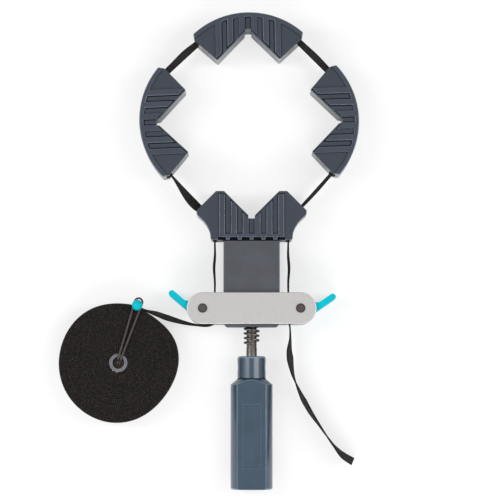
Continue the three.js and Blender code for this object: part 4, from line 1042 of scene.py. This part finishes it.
# %% Spindle
THREAD_PITCH = 3
THREAD_TURNS = 21.4
THREAD_START = -25.8
ROOT_RADIUS = 3.3
CREST_RADIUS = 5.2
SHANK_RADIUS = 3.5
TIP_RADIUS = 3.0
BLUNT_RADIUS = 2.6


def turned_along_y(name, profile, sides=48):
    """A closed mesh turned about the spindle's line from (radius, y) points in mm."""
    return ring_skin(name, [
        [(radius * MM * math.sin(a), y * MM, MIDDLE * MM + radius * MM * math.cos(a)) for a in angles(sides)]
        for radius, y in profile])


tooth_height = CREST_RADIUS - ROOT_RADIUS
half_tooth = [(-0.3, 1.02), (0, 0.95), (tooth_height - 0.15, 0.5), (tooth_height, 0.35)]
tooth_points = [(x, -y) for x, y in half_tooth] + half_tooth[::-1]
tooth_section = link(bpy.data.objects.new("tooth section", path_curve(
    "tooth section", [(-x * MM, y * MM, 0) for x, y in tooth_points], closed=True)))
rod = turned_along_y("rod", [
    (BLUNT_RADIUS, -94.9), (SHANK_RADIUS, -94.0), (SHANK_RADIUS, -25.5), (ROOT_RADIUS, -25.1),
    (ROOT_RADIUS, 39.9), (TIP_RADIUS, 40.2), (TIP_RADIUS, 48.2), (BLUNT_RADIUS, 48.7)])
threaded_spindle = made_by(
    thread, "threaded_spindle", rod, Tooth=tooth_section, Turns=THREAD_TURNS, Pitch=THREAD_PITCH * MM,
    Start=(THREAD_START + 0.75 * THREAD_PITCH) * MM, Finish=spindle_face, **{"Root radius": ROOT_RADIUS * MM})
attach(threaded_spindle, "screw_handle")
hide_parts("spindle")
print("spindle:", triangles(threaded_spindle), "triangles")

# %% [markdown]
# Moulded and cut pieces
# The model's solids have the right shape and sharp edges. A real moulding has small radii
# everywhere, and they catch the light, so each visible solid is copied, its loose triangles
# are merged into whole faces, and its edges are rounded with Bevel. A wide radius would
# tangle where two edges lie close, so each edge first gets the share of it that fits there,
# as its bevel weight. Two edges with a face between them get just under half of it each.

# %% Room for the roundings
NEAR_HALF = 0.48


def room_at(edge, corner, sharp, steepest=50, on_smooth=0.9, least_sine=0.2):
    """The widest rounding that fits where a sharp edge ends."""
    along = edge.other_vert(corner).co - corner.co
    room = math.inf
    for face in edge.link_faces:
        for other in corner.link_edges:
            if other != edge and face in other.link_faces:
                away = other.other_vert(corner).co - corner.co
                angle = along.angle(away)
                if other in sharp:
                    slope = min(abs(math.tan(angle / 2)), steepest)
                    room = min(room, NEAR_HALF * min(along.length, away.length) * slope)
                else:
                    room = min(room, on_smooth * away.length * max(math.sin(angle), least_sine))
    return room


def facing(edge, face, straight=0.7):
    """Corners that lie straight across a face from an edge, each with its distance."""
    start, end = (v.co for v in edge.verts)
    along = (end - start).normalized()
    inward = face.normal.cross(along)
    for corner in face.verts:
        if corner not in edge.verts:
            reach = min(max((corner.co - start).dot(along), 0), (end - start).length)
            away = corner.co - start - along * reach
            if abs(away.dot(inward)) > straight * away.length:
                yield corner, away.length


def weigh_edges(mesh, made, width, limit, in_line=math.radians(140)):
    """Give each sharp edge the share of the width that fits there. Edges in line get the same."""
    sharp = {e for e in made.edges if e.calc_face_angle(0) > math.radians(limit)}
    rooms = {e: min(width * MM, *(room_at(e, corner, sharp) for corner in e.verts)) for e in sharp}
    for edge in sharp:
        for face in edge.link_faces:
            for corner, distance in facing(edge, face):
                for near in [edge] + [e for e in corner.link_edges if e in sharp and face in e.link_faces]:
                    rooms[near] = min(rooms[near], NEAR_HALF * distance)
    level = False
    while not level:
        level = True
        for corner in made.verts:
            ends = [e for e in corner.link_edges if e in sharp]
            for one, two in itertools.combinations(ends, 2):
                away = [e.other_vert(corner).co - corner.co for e in (one, two)]
                if rooms[one] != rooms[two] and away[0].angle(away[1]) > in_line:
                    rooms[one] = rooms[two] = min(rooms[one], rooms[two])
                    level = False
    weights = {frozenset(v.index for v in e.verts): room / (width * MM) for e, room in rooms.items()}
    layer = mesh.attributes.new("bevel_weight_edge", "FLOAT", "EDGE")
    for edge in mesh.edges:
        layer.data[edge.index].value = weights.get(frozenset(edge.vertices), 0)
    return len(weights)


# %% [markdown]
# From a solid to a rounded piece
# The new faces get the second finish, a painted highlight, where they round an edge off, and the third,
# painted shade, where they fill an inner corner. A face with very many corners would tangle in Bevel, so it
# is cut up first. The originals stay, hidden.

# %% Rounding the solids
# The second finish paints a highlight on rounded edges, the third paints shade in inner corners.
HIGHLIGHT_EDGE = 1
SHADED_CORNER = 2


def whole_solid(node, doubles=0.002 * MM, flat=math.radians(0.4), tiny=0.14 * MM, many=80):
    """A node's mesh with its doubles merged, its flat faces whole again and no tiny edges."""
    made = bmesh.new()
    made.from_mesh(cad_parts[node].data)
    bmesh.ops.remove_doubles(made, verts=made.verts, dist=doubles)
    bmesh.ops.dissolve_limit(made, angle_limit=flat, verts=made.verts, edges=made.edges)
    bmesh.ops.dissolve_degenerate(made, dist=tiny, edges=made.edges)
    crowded = [face for face in made.faces if len(face.verts) > many]
    bmesh.ops.triangulate(made, faces=crowded, ngon_method="BEAUTY")
    made.verts.index_update()
    made.normal_update()
    return made


def plain_mesh(name, made):
    mesh = bpy.data.meshes.new(name)
    mesh.from_pydata([v.co[:] for v in made.verts], [], [[v.index for v in f.verts] for f in made.faces])
    mesh.shade_smooth()
    return mesh


def mark_shaded_corners(mesh, made):
    """A rounding outside of the old solid fills an inner corner, and gets its painted shade."""
    old = BVHTree.FromBMesh(made)
    for face in mesh.polygons:
        if face.material_index == HIGHLIGHT_EDGE:
            nearest, normal, _, _ = old.find_nearest(face.center)
            if (face.center - nearest).dot(normal) > 0:
                face.material_index = SHADED_CORNER


def rounded(node, body, slot, finishes, width, segments=2, limit=28):
    """A node's solid with rounded edges, in the place of the node."""
    name = node + "_rounded"
    made = whole_solid(node)
    piece = link(bpy.data.objects.new(name, plain_mesh(name, made)))
    for finish in finishes:
        piece.data.materials.append(finish)
    sharp = weigh_edges(piece.data, made, width, limit)
    bevel = piece.modifiers.new("round", "BEVEL")
    bevel.width = width * MM
    bevel.segments = segments
    bevel.limit_method = "WEIGHT"
    bevel.harden_normals = True
    bevel.use_clamp_overlap = False
    bevel.loop_slide = False
    bevel.material = min(HIGHLIGHT_EDGE, len(finishes) - 1)
    mesh = final_mesh(piece)
    piece.modifiers.clear()
    piece.data = mesh
    if len(finishes) > SHADED_CORNER:
        mark_shaded_corners(mesh, made)
    made.free()
    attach(piece, body)
    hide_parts(node)
    print(name, sharp, "edges rounded,", triangles(piece), "triangles")
    return piece


# %% [markdown]
# The list of rounded pieces
# Each row names the node, the body that it rides on, its slot, its finishes and the radius in millimetres,
# then where needed the number of steps of a rounding and the least angle of a sharp edge. The jaws have
# generous radii, the sheared plates hardly any. The fixed jaw has the finest details, so its radius is
# smaller. The notches at its foot are deep, so their level faces get the painted shade of inner corners.

# %% Rounded pieces
NOTCH_ROW = (44.4, 46.2)
NOTCH_REACH = 10.6


def paint_notch_shade(piece):
    # Painted shade: the notches' level faces take the inner-corner finish.
    for face in piece.data.polygons:
        _, y, z = face.center / MM
        level = abs(face.normal.z) > 0.9
        if level and NOTCH_ROW[0] < y < NOTCH_ROW[1] and abs(z - MIDDLE) < NOTCH_REACH:
            face.material_index = SHADED_CORNER


for row in (
    ("left_jaw", "left_corner", "jaw_plastic", jaw_plastic, 0.56),
    ("top_jaw", "top_corner", "jaw_plastic", jaw_plastic, 0.56),
    ("right_jaw", "right_corner", "jaw_plastic", jaw_plastic, 0.56),
    ("fixed_jaw", "jaw_slider", "jaw_plastic", jaw_plastic, 0.42),
    ("slider", "jaw_slider", "slider_plastic", slider_plastic, 0.5),
    ("handle", "screw_handle", "handle_plastic", handle_plastic, 0.6, 3, 22),
    ("left_lever", "left_cam", "turquoise_plastic", turquoise_plastic, 0.6, 3),
    ("right_lever", "right_cam", "turquoise_plastic", turquoise_plastic, 0.6, 3),
    ("front_plate", "block", "plate_steel", plate_steel, 0.2, 2, 35),
    ("back_plate", "block", "plate_steel", plate_steel, 0.2, 2, 35),
    ("left_rivet", "block", "rivet_steel", (rivet_face,), 0.15, 2, 35),
    ("right_rivet", "block", "rivet_steel", (rivet_face,), 0.15, 2, 35),
    ("roll_core", "block", "core_plastic", core_plastic, 0.9, 3),
    ("elastic_bead", "block", "turquoise_plastic", turquoise_plastic[:1], 0.3, 2, 60),
):
    piece = rounded(*row)
    if row[0] == "fixed_jaw":
        paint_notch_shade(piece)

# %% [markdown]
# What stays as it is
# The cheeks, the nut and the small fasteners are plain machined steel, and mostly sit out
# of sight. Their solids stay, and only get a finish. The sections that were swept along
# the paths are no pieces, so they go.

# %% Finishes of the other solids
STEEL_NODES = ("left_cheek", "right_cheek", "spindle_nut", "left_jaw_screw", "right_jaw_screw",
               "thrust_washer", "pressure_pad", "handle_pin", "retaining_ring")
for node in STEEL_NODES:
    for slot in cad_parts[node].material_slots:
        slot.material = spindle_face if node == "retaining_ring" else machined_steel
for helper in (fine_section, roll_section, tooth_section):
    bpy.data.objects.remove(helper)
print(len(STEEL_NODES), "solids kept")

# %% [markdown]
# Floor and light
# The picture has a pure white ground and soft light from all sides, a little stronger from
# the handle's side, which brightens the walls that face it. The floor is white paint that
# keeps a soft shadow. For rays from the camera most of it glows at a strength of 1.

# %% Floor and light
FLOOR_SIZE = 3.0
FLOOR_HEIGHT = -0.2 * MM
GLOW_SHARE = 0.66
AIM = Vector((0, 0.03, 0))


def make_floor():
    mesh = bpy.data.meshes.new("floor")
    corners = ((-1, -1), (1, -1), (1, 1), (-1, 1))
    mesh.from_pydata([(x * FLOOR_SIZE, y * FLOOR_SIZE, FLOOR_HEIGHT) for x, y in corners], [], [(0, 1, 2, 3)])
    floor = link(bpy.data.objects.new("floor", mesh))
    finish = Finish("floor", Roughness=0.9, Base_Color=(0.93, 0.93, 0.93, 1), Specular_IOR_Level=0.0)
    seen = finish.add("ShaderNodeLightPath", output="Is Camera Ray")
    glow = finish.add("ShaderNodeEmission", inputs={"Strength": 1.0})
    paint = Value(finish, finish.shader.outputs[0])
    surface = finish.add("ShaderNodeMixShader", inputs={0: seen * GLOW_SHARE, 1: paint, 2: glow})
    finish.links.new(surface.socket, finish.nodes["Material Output"].inputs["Surface"])
    mesh.materials.append(finish.material)


def make_world(strength):
    """White for the camera, and a plain light of the given strength on everything else."""
    world = bpy.data.worlds.new("studio")
    world.use_nodes = True
    bpy.context.scene.world = world
    tree = Tree(world.node_tree)
    seen = tree.add("ShaderNodeLightPath", output="Is Camera Ray")
    back = world.node_tree.nodes["Background"]
    tree.feed(back, "Color", (1, 1, 1, 1))
    tree.feed(back, "Strength", strength + seen * (1 - strength))


def area_light(name, place, width, height, power):
    data = bpy.data.lights.new(name, "AREA")
    data.shape = "RECTANGLE"
    data.size, data.size_y, data.energy = width, height, power
    light = link(bpy.data.objects.new(name, data))
    light.location = place
    light.rotation_euler = (AIM - Vector(place)).to_track_quat("-Z", "Y").to_euler()
    return light


make_floor()
make_world(0.5)
lights = [area_light("front", (0.0, -1.2, 1.15), 1.4, 0.5, 11),
          area_light("left", (-1.0, 0.2, 1.15), 0.45, 1.2, 9),
          area_light("right", (1.0, 0.1, 1.15), 0.45, 1.2, 9)]
bpy.context.scene.view_settings.view_transform = "Standard"
print("lights:", [light.name for light in lights])
